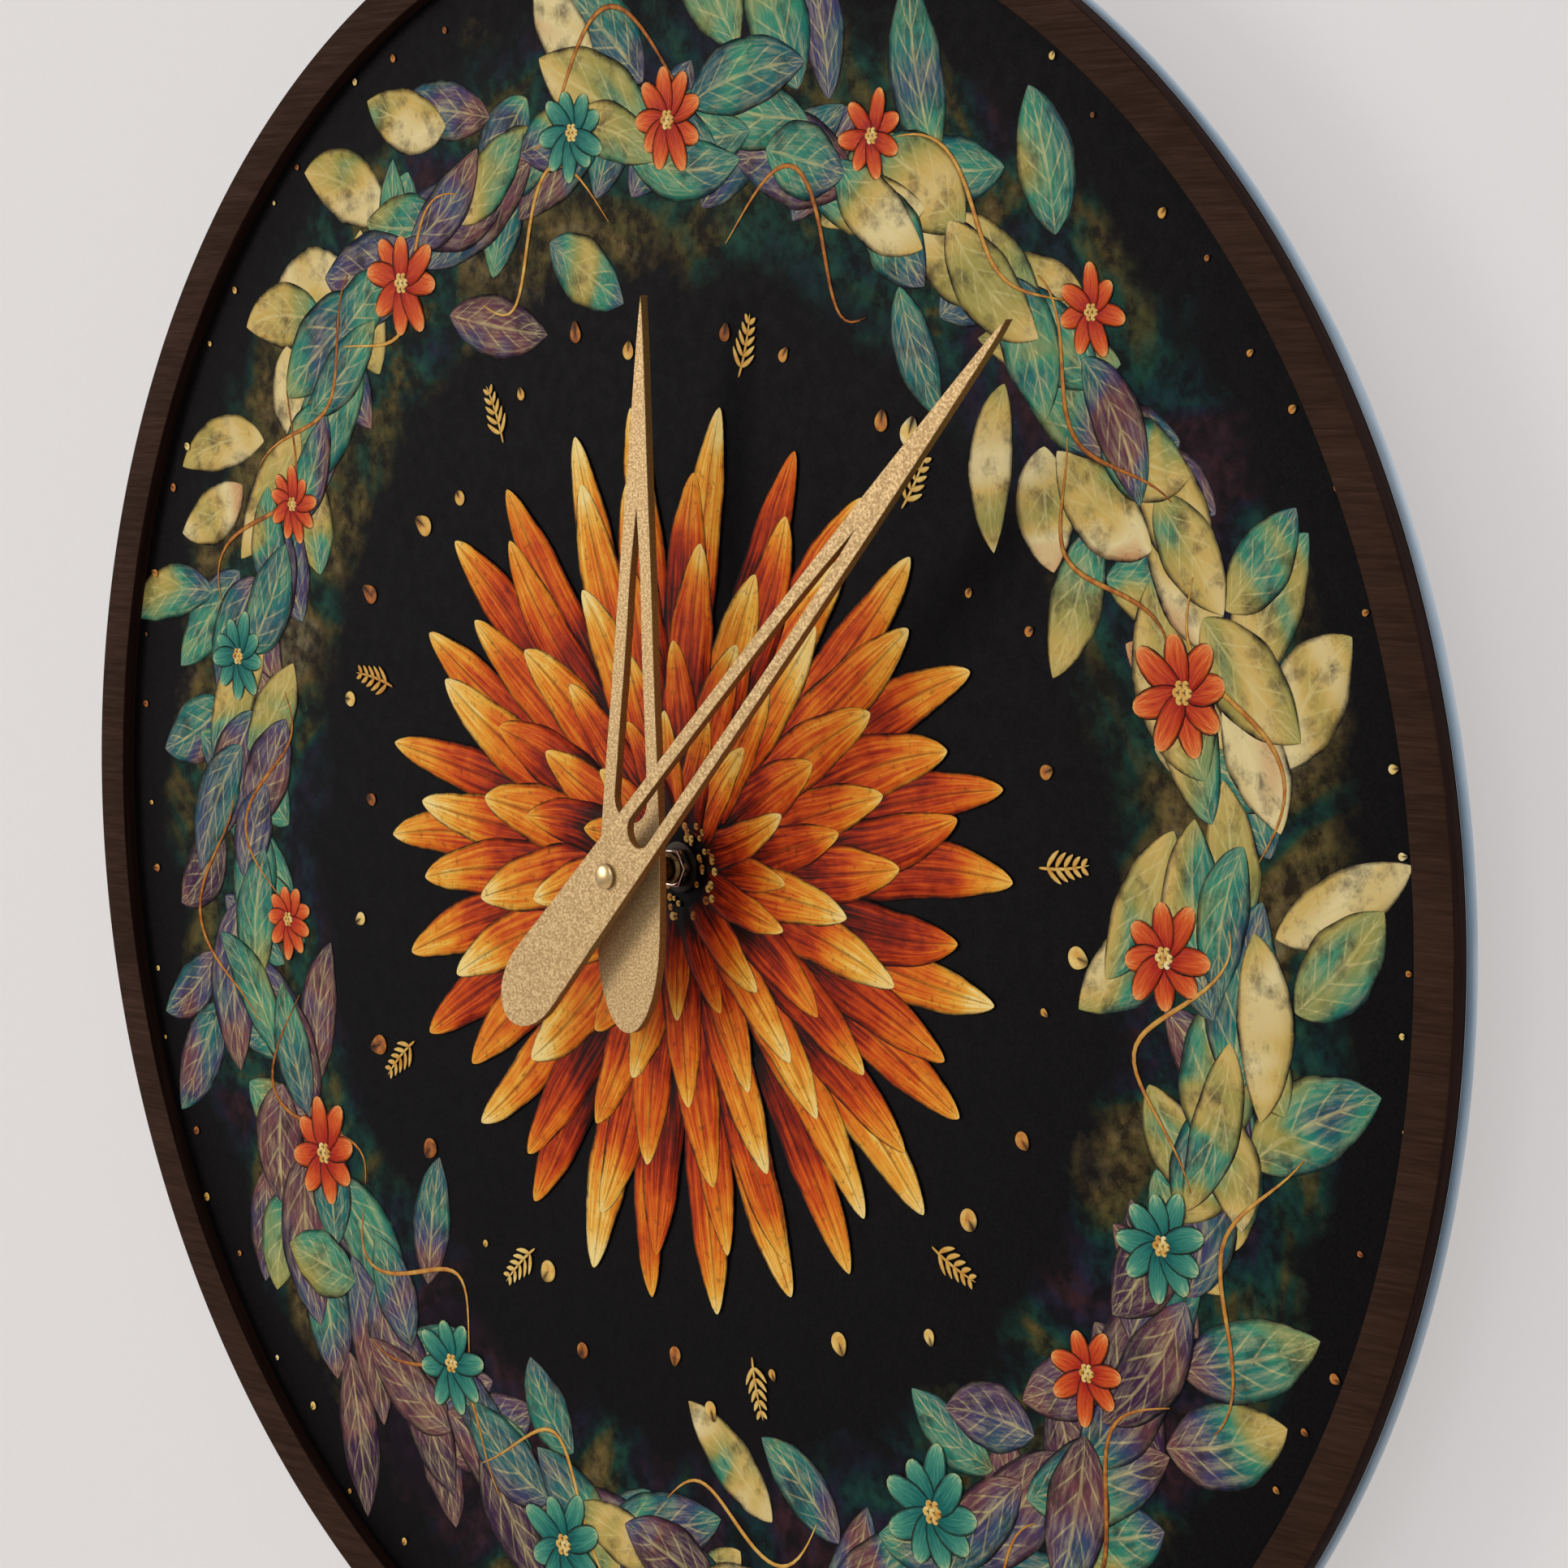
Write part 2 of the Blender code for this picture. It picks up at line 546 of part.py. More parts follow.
def make_dial(finish):
    """The clear disc, its printed skin and the wooden ring in front of it."""
    edge = circle(DISC_DIAMETER / 2, DISC_FACETS)
    ring_inner = DISC_DIAMETER / 2 - RING_WIDTH
    hole = circle(DISC_HOLE_DIAMETER / 2, ROUND_FACETS)
    plate("acrylic_disc", edge, DISC_NEAR, DISC_FRONT, finish["clear"], holes=[hole])
    plate("rim_ring", edge, SKIN_NEAR, SKIN_NEAR + RING_THICKNESS, finish["walnut"],
          holes=[circle(ring_inner, DISC_FACETS)])
    plate("print_film", circle(ring_inner - SEAT_GAP, DISC_FACETS), SKIN_NEAR, SKIN_FRONT, finish["skin"],
          holes=[hole])


def make_hub(finish):
    """What clamps the disc to the movement."""
    clear_of_bush = circle(BUSH_DIAMETER / 2 + RUN_GAP, ROUND_FACETS)
    plate("threaded_bush", circle(BUSH_DIAMETER / 2, ROUND_FACETS), FLOOR_INNER + RUN_GAP, BUSH_FRONT,
          finish["brass"], holes=[circle(BUSH_BORE / 2, ROUND_FACETS)])
    plate("rubber_washer", circle(RUBBER_DIAMETER / 2, ROUND_FACETS), RUBBER_NEAR,
          RUBBER_NEAR + RUBBER_THICKNESS, finish["rubber"], holes=[clear_of_bush])
    plate("steel_washer", circle(WASHER_DIAMETER / 2, ROUND_FACETS), WASHER_NEAR,
          WASHER_NEAR + WASHER_THICKNESS, finish["steel"], holes=[clear_of_bush])
    corner_radius = NUT_ACROSS_FLATS / math.sqrt(3)
    plate("hex_nut", circle(corner_radius, 6), NUT_NEAR, NUT_FRONT, finish["bright"], holes=[clear_of_bush])


def make_hands(finish):
    """Both hands, turned to the time that they show, with the hour hand's collet and the cap nut."""
    tip_hole = flatted_circle(ARBOR_TIP_DIAMETER / 2 + RUN_GAP, ARBOR_TIP_FLATS / 2 + RUN_GAP)
    edge = hand_outline(MINUTE_TIP, MINUTE_STATIONS, MINUTE_TAIL, MINUTE_TAIL_ROUND, MINUTE_TAIL_HALF_WIDTH)
    slot = slot_outline(MINUTE_SLOT_APEX, MINUTE_SLOT_STATIONS, MINUTE_SLOT_CENTRE, MINUTE_SLOT_RADIUS)
    minute = plate("minute_hand", edge, MINUTE_HAND_NEAR, MINUTE_HAND_FRONT, finish["gold"],
                   holes=[slot, tip_hole])
    minute.rotation_euler = (0.0, MINUTE_ANGLE, 0.0)
    edge = hand_outline(HOUR_TIP, HOUR_STATIONS, HOUR_TAIL, HOUR_TAIL_ROUND, HOUR_TAIL_HALF_WIDTH)
    slot = slot_outline(HOUR_SLOT_APEX, HOUR_SLOT_STATIONS, HOUR_SLOT_CENTRE, HOUR_SLOT_RADIUS)
    pipe_hole = circle(HOUR_PIPE_DIAMETER / 2 + RUN_GAP, ROUND_FACETS)
    hour = plate("hour_hand", edge, HOUR_HAND_NEAR, HOUR_HAND_FRONT, finish["hour_gold"],
                 holes=[slot, pipe_hole])
    hour.rotation_euler = (0.0, MINUTE_ANGLE / 12, 0.0)
    collet_far = HOUR_HAND_NEAR - SEAT_GAP
    plate("hour_hand_collet", circle(COLLET_DIAMETER / 2, ROUND_FACETS), collet_far - COLLET_LENGTH,
          collet_far, finish["collet"], holes=[pipe_hole])
    make_cap_nut(finish["cap"])


def make_cap_nut(finish):
    """A low domed nut with a blind bore over the arbor's tip."""
    rim_front = CAP_NEAR + CAP_RIM
    mesh = bmesh.new()
    turns = [math.pi / 2 * k / DOME_STEPS for k in range(DOME_STEPS)]
    loops = [loop_verts(mesh, circle(CAP_DIAMETER / 2, ROUND_FACETS), CAP_NEAR)]
    loops += [loop_verts(mesh, circle(CAP_DIAMETER / 2 * math.cos(turn), ROUND_FACETS),
                         rim_front + CAP_DOME * math.sin(turn)) for turn in turns]
    for near, far in zip(loops, loops[1:]):
        wall_fill(mesh, near, far)
    flat_fill(mesh, loops[:1])
    flat_fill(mesh, loops[-1:])
    cap = finish_object("cap_nut", mesh, finish, HUB)
    bore = plate("cap_bore", circle(ARBOR_TIP_DIAMETER / 2 + RUN_GAP, ROUND_FACETS), CAP_NEAR - SEAT_GAP,
                 rim_front + SEAT_GAP)
    return boolean(cap, "DIFFERENCE", [bore])


def wheel_and_pinion(name, finish, axis, wheel, pinion, collar_radius, ends):
    """A staff with a wheel near its rear end and a pinion in front of it, and a thin pivot at each end."""
    rear, front = ends
    return stack(name, [staff(PIVOT_RADIUS, rear, wheel[1]), wheel, staff(collar_radius, wheel[2], pinion[1]),
                        pinion, staff(PIVOT_RADIUS, pinion[2], front)], finish, axis)


def make_going_train(finish):
    """Rotor, intermediate wheel, second wheel, third wheel and centre wheel."""
    pinion = pinion_section(ROTOR_PINION, ROTOR_MODULE, 0.0, INTERMEDIATE_LEVEL)
    magnet_near = pinion[2] + MAGNET_COLLAR
    magnet_far = PLATE_LEVEL - MAGNET_GAP
    magnet = (circle(MAGNET_RADIUS, ROUND_FACETS), magnet_near, magnet_far)
    stack("rotor", [staff(PIVOT_RADIUS, PIVOT_REAR, pinion[1]), pinion,
                    staff(STAFF_RADIUS, pinion[2], magnet_near), magnet,
                    staff(PIVOT_RADIUS, magnet_far, PIVOT_PLATE)], finish["magnet"], ROTOR_AXIS)

    phase = meshing_phase(0.0, ROTOR_PINION, INTERMEDIATE_WHEEL, ROTOR_BEARING + math.pi)
    wheel = wheel_section(INTERMEDIATE_WHEEL, ROTOR_MODULE, phase, INTERMEDIATE_LEVEL)
    pinion = pinion_section(INTERMEDIATE_PINION, INTERMEDIATE_MODULE, 0.0, SECOND_LEVEL)
    wheel_and_pinion("intermediate_wheel", finish["wheel"], INTERMEDIATE_AXIS, wheel, pinion,
                     2 * STAFF_RADIUS, (PIVOT_REAR, PIVOT_PLATE))

    phase = meshing_phase(0.0, INTERMEDIATE_PINION, SECOND_WHEEL, INTERMEDIATE_BEARING + math.pi)
    wheel = wheel_section(SECOND_WHEEL, INTERMEDIATE_MODULE, phase, SECOND_LEVEL)
    pinion = pinion_section(SECOND_PINION, SECOND_MODULE, 0.0, THIRD_LEVEL)
    wheel_and_pinion("second_wheel", finish["second"], HUB, wheel, pinion, STAFF_RADIUS,
                     (PIVOT_REAR, PLATE_LEVEL))

    phase = meshing_phase(0.0, SECOND_PINION, THIRD_WHEEL, THIRD_BEARING)
    wheel = wheel_section(THIRD_WHEEL, SECOND_MODULE, phase, THIRD_LEVEL)
    pinion = pinion_section(THIRD_PINION, THIRD_MODULE, 0.0, CENTRE_LEVEL)
    wheel_and_pinion("third_wheel", finish["third"], THIRD_AXIS, wheel, pinion, STAFF_RADIUS,
                     (PIVOT_REAR, PIVOT_PLATE))

    phase = meshing_phase(0.0, THIRD_PINION, CENTRE_WHEEL, THIRD_BEARING + math.pi)
    outline, near, far = wheel_section(CENTRE_WHEEL, THIRD_MODULE, phase, CENTRE_LEVEL)
    plate("centre_wheel", outline, near, far, finish["centre"],
          holes=[circle(MINUTE_ARBOR_DIAMETER / 2 + RUN_GAP, ROUND_FACETS)])


def make_motion_work(finish):
    """Minute arbor, motion wheel, hour wheel and setting knob."""
    arbor = circle(MINUTE_ARBOR_DIAMETER / 2, ROUND_FACETS)
    rear = CENTRE_LEVEL - 2 * PINION_OVERHANG
    pinion = pinion_section(CANNON_PINION, CANNON_MODULE, 0.0, MOTION_LEVEL)
    shoulder = MINUTE_HAND_NEAR - SEAT_GAP
    tip = flatted_circle(ARBOR_TIP_DIAMETER / 2, ARBOR_TIP_FLATS / 2, -MINUTE_ANGLE)
    made = stack("minute_arbor", [(arbor, rear, pinion[1]), pinion, (arbor, pinion[2], shoulder),
                                  (tip, shoulder, CAP_NEAR + CAP_RIM)], finish["minute_arbor"])
    pivot_bore = plate("arbor_bore", circle(PIVOT_RADIUS + RUN_GAP, FINE_FACETS), rear - SEAT_GAP,
                       PLATE_LEVEL + SEAT_GAP)
    boolean(made, "DIFFERENCE", [pivot_bore])

    motion_phase = meshing_phase(0.0, CANNON_PINION, MOTION_WHEEL, MOTION_BEARING)
    wheel = wheel_section(MOTION_WHEEL, CANNON_MODULE, motion_phase, MOTION_LEVEL)
    pinion = pinion_section(MOTION_PINION, HOUR_MODULE, 0.0, HOUR_LEVEL)
    stack("motion_wheel", [staff(STAFF_RADIUS, PLATE_LEVEL - SEAT_GAP, wheel[1]), wheel,
                           staff(2 * STAFF_RADIUS, wheel[2], pinion[1]), pinion,
                           staff(STAFF_RADIUS, pinion[2], PIVOT_FLOOR)], finish["motion"], MOTION_AXIS)

    phase = meshing_phase(0.0, MOTION_PINION, HOUR_WHEEL, MOTION_BEARING + math.pi)
    wheel = wheel_section(HOUR_WHEEL, HOUR_MODULE, phase, HOUR_LEVEL)
    pipe = (circle(HOUR_PIPE_DIAMETER / 2, ROUND_FACETS), wheel[2], HOUR_HAND_FRONT)
    stack("hour_wheel", [wheel, pipe], finish["hour"], bores=[circle(HOUR_PIPE_BORE / 2, ROUND_FACETS)])

    phase = meshing_phase(motion_phase, MOTION_WHEEL, KNOB_PINION, KNOB_BEARING)
    pinion = pinion_section(KNOB_PINION, CANNON_MODULE, phase, MOTION_LEVEL)
    rim = [polar(KNOB_RADIUS - k % 2 * FLUTE_DEPTH, math.pi * k / KNOB_FLUTES)
           for k in range(2 * KNOB_FLUTES)]
    knob_far = SEAT_GAP + KNOB_HEIGHT
    shaft = (circle(KNOB_SHAFT_RADIUS, ROUND_FACETS), knob_far, pinion[1])
    stack("setting_knob", [(rim, SEAT_GAP, knob_far), shaft, pinion,
                           staff(STAFF_RADIUS, pinion[2], PIVOT_FLOOR)], finish["knob"], KNOB_AXIS)


def make_motor(finish):
    """Stator, coil on its core, circuit board and crystal."""
    bottom = ROTOR_AXIS[1] - STATOR_BORE - YOKE_WALL
    top = ROTOR_AXIS[1] + STATOR_BORE + YOKE_WALL
    leg_top = COIL_HEIGHT + CORE_WIDTH / 2
    left, right = LEGS_INNER
    outline = [(STATOR_LEFT, bottom), (STATOR_RIGHT, bottom), (STATOR_RIGHT, leg_top), (right, leg_top),
               (right, top), (left, top), (left, leg_top), (STATOR_LEFT, leg_top)]
    plate("stator", outline, STATOR_LEVEL, STATOR_LEVEL + STATOR_THICKNESS, finish["lamination"],
          holes=[circle(STATOR_BORE, ROUND_FACETS, ROTOR_AXIS)])

    core_far = STATOR_LEVEL - SEAT_GAP
    core_near = core_far - STATOR_THICKNESS
    plate("coil_core", rectangle(STATOR_LEFT, COIL_HEIGHT - CORE_WIDTH / 2, STATOR_RIGHT, leg_top), core_near,
          core_far, finish["core"])

    coil_left = left + SEAT_GAP
    across = STATOR_THICKNESS / 2 + RUN_GAP
    along = CORE_WIDTH / 2 + RUN_GAP
    flange = circle(BOBBIN_FLANGE_RADIUS, ROUND_FACETS)
    barrel = circle(BOBBIN_RADIUS, ROUND_FACETS)
    barrel_end = COIL_LENGTH - BOBBIN_FLANGE
    bobbin = stack("coil_bobbin", [(flange, 0.0, BOBBIN_FLANGE), (barrel, BOBBIN_FLANGE, barrel_end),
                                   (flange, barrel_end, COIL_LENGTH)],
                   finish["bobbin"], bores=[rectangle(-across, -along, across, along)])
    lay_along_x(bobbin, coil_left, COIL_HEIGHT, COIL_DEPTH)
    winding_bore = circle(BOBBIN_RADIUS + RUN_GAP, ROUND_FACETS)
    winding = plate("coil_winding", circle(WINDING_RADIUS, ROUND_FACETS), BOBBIN_FLANGE + RUN_GAP,
                    barrel_end - RUN_GAP, finish["copper"], holes=[winding_bore])
    lay_along_x(winding, coil_left, COIL_HEIGHT, COIL_DEPTH)

    board_far = BOARD_LEVEL + BOARD_THICKNESS
    board = rectangle(-BOARD_TOP, BOARD_TOP - BOARD_HEIGHT, BOARD_WIDTH - BOARD_TOP, BOARD_TOP)
    chip = circle(CHIP_RADIUS, ROUND_FACETS, (BOARD_CENTRE[0] + CHIP_OFFSET, BOARD_CENTRE[1]))
    stack("circuit_board", [(board, BOARD_LEVEL, board_far), (chip, board_far, board_far + CHIP_HEIGHT)],
          finish["board"])
    can = plate("quartz_crystal", circle(CRYSTAL_RADIUS, FINE_FACETS), 0.0, CRYSTAL_LENGTH, finish["can"])
    can_depth = board_far + SEAT_GAP + CRYSTAL_RADIUS
    lay_along_x(can, BOARD_CENTRE[0] + CRYSTAL_OFFSET, BOARD_CENTRE[1], can_depth)


def strip_outline(path, thickness):
    """A sheet strip's edge view: a path and its copy moved to the left of travel by the thickness."""
    offset = []
    for k, point in enumerate(path):
        before = Vector(point) - Vector(path[max(k - 1, 0)])
        after = Vector(path[min(k + 1, len(path) - 1)]) - Vector(point)
        ahead = (before.normalized() + after.normalized()).normalized()
        side = Vector((-ahead.y, ahead.x))
        reference = after if k == 0 else before
        square = Vector((-reference.y, reference.x)).normalized()
        offset.append(tuple(Vector(point) + side * thickness / side.dot(square)))
    return path + offset[::-1]


def make_power(finish):
    """The AA cell and the two contact strips that run to the circuit board."""
    cell = stack("battery_aa", [(circle(BATTERY_RADIUS, ROUND_FACETS), 0.0, BATTERY_LENGTH),
                                (circle(BATTERY_NUB_RADIUS, ROUND_FACETS), BATTERY_LENGTH,
                                 BATTERY_LENGTH + BATTERY_NUB_LENGTH)], finish["cell"])
    lay_along_x(cell, CELL_LEFT, BATTERY_HEIGHT, BATTERY_DEPTH)

    strip_far = STRIP_NEAR + CONTACT_WIDTH
    wall = STRIP_INNER + CONTACT_SHEET
    low = BATTERY_HEIGHT - CONTACT_REACH
    high = BATTERY_HEIGHT + CONTACT_REACH
    bend = arc(INNER_CORNER, 0.0, math.pi / 2, BEND_STEPS, (wall - INNER_CORNER, wall - INNER_CORNER))
    board_end = (BOARD_CENTRE[0] + BOARD_POST_OFFSET, wall)
    outline = strip_outline([(wall, low)] + bend + [board_end], CONTACT_SHEET)
    plate("contact_positive", outline, STRIP_NEAR, strip_far, finish["positive"])
    spring = CELL_LEFT - SEAT_GAP + STRIP_INNER
    bulge = [(-STRIP_INNER + spring * math.sin(math.pi * k / BULGE_STEPS),
              low + (high - low) * k / BULGE_STEPS) for k in range(BULGE_STEPS + 1)]
    outline = strip_outline(bulge + [(-STRIP_INNER, BOARD_CENTRE[1])], CONTACT_SHEET)
    plate("contact_negative", outline, STRIP_NEAR, strip_far, finish["negative"])


def post(name, centre, near, far, radius=POST_RADIUS):
    """A round pin or boss, or the cutter for a round hole."""
    return plate(name, circle(radius, FINE_FACETS, centre), near, far)


def make_case(finish):
    """The front shell: floor, side walls, battery bay wall, posts for the middle plate."""
    case_near = COVER_THICKNESS + SEAT_GAP
    outline = rounded_rectangle(-CASE_HALF, -CASE_HALF, CASE_HALF, CASE_HALF, CASE_CORNER)
    case = plate("movement_case", outline, case_near, CASE_DEPTH, finish["housing"])
    room = rounded_rectangle(-CASE_INNER, -CASE_INNER, CASE_INNER, CASE_INNER, INNER_CORNER)
    bush_hole = circle(BUSH_DIAMETER / 2 + SEAT_GAP, ROUND_FACETS)
    cutters = [plate("room", room, -SEAT_GAP, FLOOR_INNER),
               plate("bush_hole", bush_hole, FLOOR_INNER - SEAT_GAP, CASE_DEPTH + SEAT_GAP)]
    boolean(case, "DIFFERENCE", cutters)
    into_floor = FLOOR_INNER + CASE_WALL / 2
    bay_half = STRIP_INNER - 2 * SEAT_GAP
    bay_wall = plate("bay_wall", rectangle(-bay_half, BAY_TOP, bay_half, ROOM_BOTTOM), case_near, into_floor)
    posts = [post(f"post_{k}", centre, PLATE_FRONT + SEAT_GAP, into_floor)
             for k, centre in enumerate(plate_corners())]
    boolean(case, "UNION", [bay_wall] + posts)
    pivots = [post(f"pivot_{k}", axis, FLOOR_INNER - SEAT_GAP, PIVOT_FLOOR + SEAT_GAP, STAFF_RADIUS + RUN_GAP)
              for k, axis in enumerate((MOTION_AXIS, KNOB_AXIS))]
    boolean(case, "DIFFERENCE", pivots)


def plate_corners():
    """Where the case's posts carry the middle plate."""
    reach = CASE_INNER - CORNER_INSET
    bottom = ROOM_BOTTOM + CORNER_INSET
    return [(-reach, bottom), (reach, bottom), (reach, reach), (-reach, reach)]


def make_middle_plate(finish):
    """The plate that the wheels' front pivots run in, with two legs that carry the stator."""
    edge = CASE_INNER - SEAT_GAP
    outline = rounded_rectangle(-edge, ROOM_BOTTOM + SEAT_GAP, edge, edge, INNER_CORNER)
    pivot = PIVOT_RADIUS + RUN_GAP
    holes = [circle(MINUTE_ARBOR_DIAMETER / 2 + RUN_GAP, ROUND_FACETS),
             circle(KNOB_SHAFT_RADIUS + RUN_GAP, ROUND_FACETS, KNOB_AXIS),
             circle(STAFF_RADIUS + RUN_GAP, FINE_FACETS, MOTION_AXIS)]
    holes += [circle(pivot, FINE_FACETS, axis) for axis in (THIRD_AXIS, INTERMEDIATE_AXIS, ROTOR_AXIS)]
    made = plate("middle_plate", outline, PLATE_LEVEL, PLATE_FRONT, finish["plate"], holes=holes)
    stator_front = STATOR_LEVEL + STATOR_THICKNESS
    leg_places = (STATOR_LEFT + STATOR_LEG / 2, STATOR_RIGHT - STATOR_LEG / 2)
    legs = [post(f"leg_{k}", (x, COIL_HEIGHT), stator_front + SEAT_GAP, PLATE_LEVEL + PLATE_THICKNESS / 2,
                 LEG_RADIUS) for k, x in enumerate(leg_places)]
    boolean(made, "UNION", legs)


def make_cover(finish):
    """The rear cover over the wheels: pivot bosses, the knob's well and the loop that hangs on a nail."""
    bend = CASE_HALF - CASE_CORNER
    outline = [(-CASE_HALF, BAY_TOP), (CASE_HALF, BAY_TOP)]
    outline += arc(CASE_CORNER, 0.0, math.pi / 2, BEND_STEPS, (bend, bend))
    outline += arc(CASE_CORNER, math.pi / 2, math.pi, BEND_STEPS, (-bend, bend))
    well = circle(WELL_RADIUS, ROUND_FACETS, KNOB_AXIS)
    made = plate("movement_cover", outline, 0.0, COVER_THICKNESS, finish["cover"], holes=[well])
    inside = COVER_THICKNESS / 2
    cup = plate("cup", circle(WELL_RADIUS + WELL_WALL, ROUND_FACETS, KNOB_AXIS), inside,
                WELL_FLOOR + WELL_WALL)
    cup_room = plate("cup_room", well, -SEAT_GAP, WELL_FLOOR)
    cup_hole = plate("cup_hole", circle(KNOB_SHAFT_RADIUS + RUN_GAP, ROUND_FACETS, KNOB_AXIS), inside,
                     WELL_FLOOR + 2 * WELL_WALL)
    boss_far = INTERMEDIATE_LEVEL - PINION_OVERHANG - BOSS_GAP
    axes = (HUB, THIRD_AXIS, INTERMEDIATE_AXIS, ROTOR_AXIS)
    bosses = [post(f"boss_{k}", axis, inside, boss_far, BOSS_RADIUS) for k, axis in enumerate(axes)]
    board_posts = [post(f"board_post_{k}", (BOARD_CENTRE[0] + x, BOARD_CENTRE[1]), inside,
                        BOARD_LEVEL - SEAT_GAP)
                   for k, x in enumerate((-BOARD_POST_OFFSET, BOARD_POST_OFFSET))]
    clips = [plate(f"clip_{k}", clip, inside, CLIP_DEPTH) for k, clip in enumerate(clip_outlines())]
    boolean(made, "UNION", [cup, hanging_loop()] + bosses + board_posts + clips)
    pivots = [post(f"pivot_{k}", axis, PIVOT_REAR - SEAT_GAP, boss_far + SEAT_GAP, PIVOT_RADIUS + RUN_GAP)
              for k, axis in enumerate(axes)]
    boolean(made, "DIFFERENCE", [cup_room, cup_hole] + pivots)


def clip_outlines():
    """Four tabs that reach into the case along its side walls."""
    outer = CASE_INNER - SEAT_GAP
    inner = outer - CLIP_THICKNESS
    right = [rectangle(inner, z - CLIP_LENGTH / 2, outer, z + CLIP_LENGTH / 2) for z in CLIP_HEIGHTS]
    left = [rectangle(-outer, z - CLIP_LENGTH / 2, -inner, z + CLIP_LENGTH / 2) for z in CLIP_HEIGHTS]
    return right + left


def hanging_loop():
    """A round-topped tab above the housing with a hole for the nail's head and a slot for its shank."""
    top_radius = LOOP_WIDTH / 2
    foot = CASE_HALF + SEAT_GAP
    slot_half = NAIL_SLOT_WIDTH / 2
    hole_height = CASE_HALF + NAIL_HOLE_RISE
    loop_top = hole_height + NAIL_SLOT_RISE + slot_half + LOOP_WALL
    outline = [(-top_radius, foot), (top_radius, foot)]
    outline += arc(top_radius, 0.0, math.pi, TAIL_STEPS, (0.0, loop_top - top_radius))
    meet = math.acos(slot_half / NAIL_HOLE_RADIUS)
    hole = arc(NAIL_HOLE_RADIUS, math.pi - meet, math.tau + meet, ROUND_FACETS, (0.0, hole_height))
    hole += arc(slot_half, 0.0, math.pi, TAIL_STEPS, (0.0, hole_height + NAIL_SLOT_RISE))
    tab = plate("loop", outline, 0.0, LOOP_THICKNESS, holes=[hole])
    foot_outline = rectangle(-top_radius, CASE_HALF - CASE_CORNER, top_radius, foot + SEAT_GAP)
    foot_block = plate("loop_foot", foot_outline, COVER_THICKNESS / 4, COVER_THICKNESS * 3 / 4)
    return boolean(tab, "UNION", [foot_block])


def main():
    for old in list(bpy.data.objects):
        bpy.data.objects.remove(old)
    finish = make_materials()
    make_dial(finish)
    make_hub(finish)
    make_hands(finish)
    make_going_train(finish)
    make_motion_work(finish)
    make_motor(finish)
    make_power(finish)
    make_case(finish)
    make_middle_plate(finish)
    make_cover(finish)


main()
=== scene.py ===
"""Looks of the round wall clock: a printed acrylic disc in a thin wooden rim, slotted golden hands and a
quartz movement behind the disc.

The frame is metres with +Z up, the clock faces -Y, and its hub axis is the line x = z = 0. A depth is the
distance from the wall, so a point at depth d lies at y = -d. Shapes are drawn in the (x, z) plane as the
viewer sees it.
"""

import json
import math
import random

import bmesh
import bpy
from mathutils import Matrix, Vector

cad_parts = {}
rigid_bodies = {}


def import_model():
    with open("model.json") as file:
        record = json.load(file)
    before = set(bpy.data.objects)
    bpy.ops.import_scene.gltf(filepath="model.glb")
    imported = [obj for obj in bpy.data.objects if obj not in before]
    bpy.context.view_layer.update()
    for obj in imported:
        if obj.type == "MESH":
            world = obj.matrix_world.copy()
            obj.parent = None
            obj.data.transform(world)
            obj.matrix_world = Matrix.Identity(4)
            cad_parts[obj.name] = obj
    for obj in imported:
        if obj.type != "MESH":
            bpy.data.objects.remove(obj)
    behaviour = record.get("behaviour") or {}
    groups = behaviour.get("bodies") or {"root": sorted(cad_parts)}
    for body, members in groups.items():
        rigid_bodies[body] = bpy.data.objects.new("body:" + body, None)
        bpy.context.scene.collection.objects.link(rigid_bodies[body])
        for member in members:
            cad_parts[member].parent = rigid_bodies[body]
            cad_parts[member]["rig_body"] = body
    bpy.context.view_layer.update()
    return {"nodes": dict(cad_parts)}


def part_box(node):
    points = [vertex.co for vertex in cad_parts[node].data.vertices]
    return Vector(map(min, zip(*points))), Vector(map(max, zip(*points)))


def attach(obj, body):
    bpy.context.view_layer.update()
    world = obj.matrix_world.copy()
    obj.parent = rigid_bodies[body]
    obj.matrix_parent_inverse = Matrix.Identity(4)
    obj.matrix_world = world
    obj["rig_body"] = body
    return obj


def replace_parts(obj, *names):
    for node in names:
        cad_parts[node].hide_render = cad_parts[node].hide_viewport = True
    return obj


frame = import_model()
MM = 0.001

# Camera, as the photograph was taken: from the right and a little above the dial's middle
FOCAL_LENGTH_MM = 104.85
CAMERA_BEARING = math.radians(48.89)     # to the right of the dial's normal
CAMERA_RISE = math.radians(6.63)
CAMERA_DISTANCE = 0.9154                 # to the dial's middle in the rim's front plane
CAMERA_ROLL = math.radians(-1.275)
AIM = (0.0344, 0.0189)                   # x and z in the rim's front plane at the picture's centre

# Wall, floor and light
WALL_GAP = 0.5 * MM
FLOOR_HEIGHT = -0.9
ROOM_WIDTH = 5.0
WALL_HEIGHT = 2.4
FLOOR_DEPTH = 3.0
WALL_COLOUR = (222, 217, 215)
WALL_GLOW = 0.66                         # share of the wall's look that shadows don't reach
KEY_PLACE = Vector((-1.35, -1.5, 0.3))
KEY_WATTS = 14.5
KEY_SIZE = 0.8
KEY_COLOUR = (1.0, 0.945, 0.88)
FILL_PLACE = Vector((1.1, -1.5, 1.2))
FILL_WATTS = 15.0
FILL_SIZE = 1.8
FILL_COLOUR = (0.78, 0.89, 1.0)
REAR_PLACE = Vector((1.5, 1.3, 1.2))
REAR_WATTS = 24.0
REAR_SIZE = 1.4
WORLD_COLOUR = (0.90, 0.95, 1.0, 1.0)
WORLD_STRENGTH = 0.58

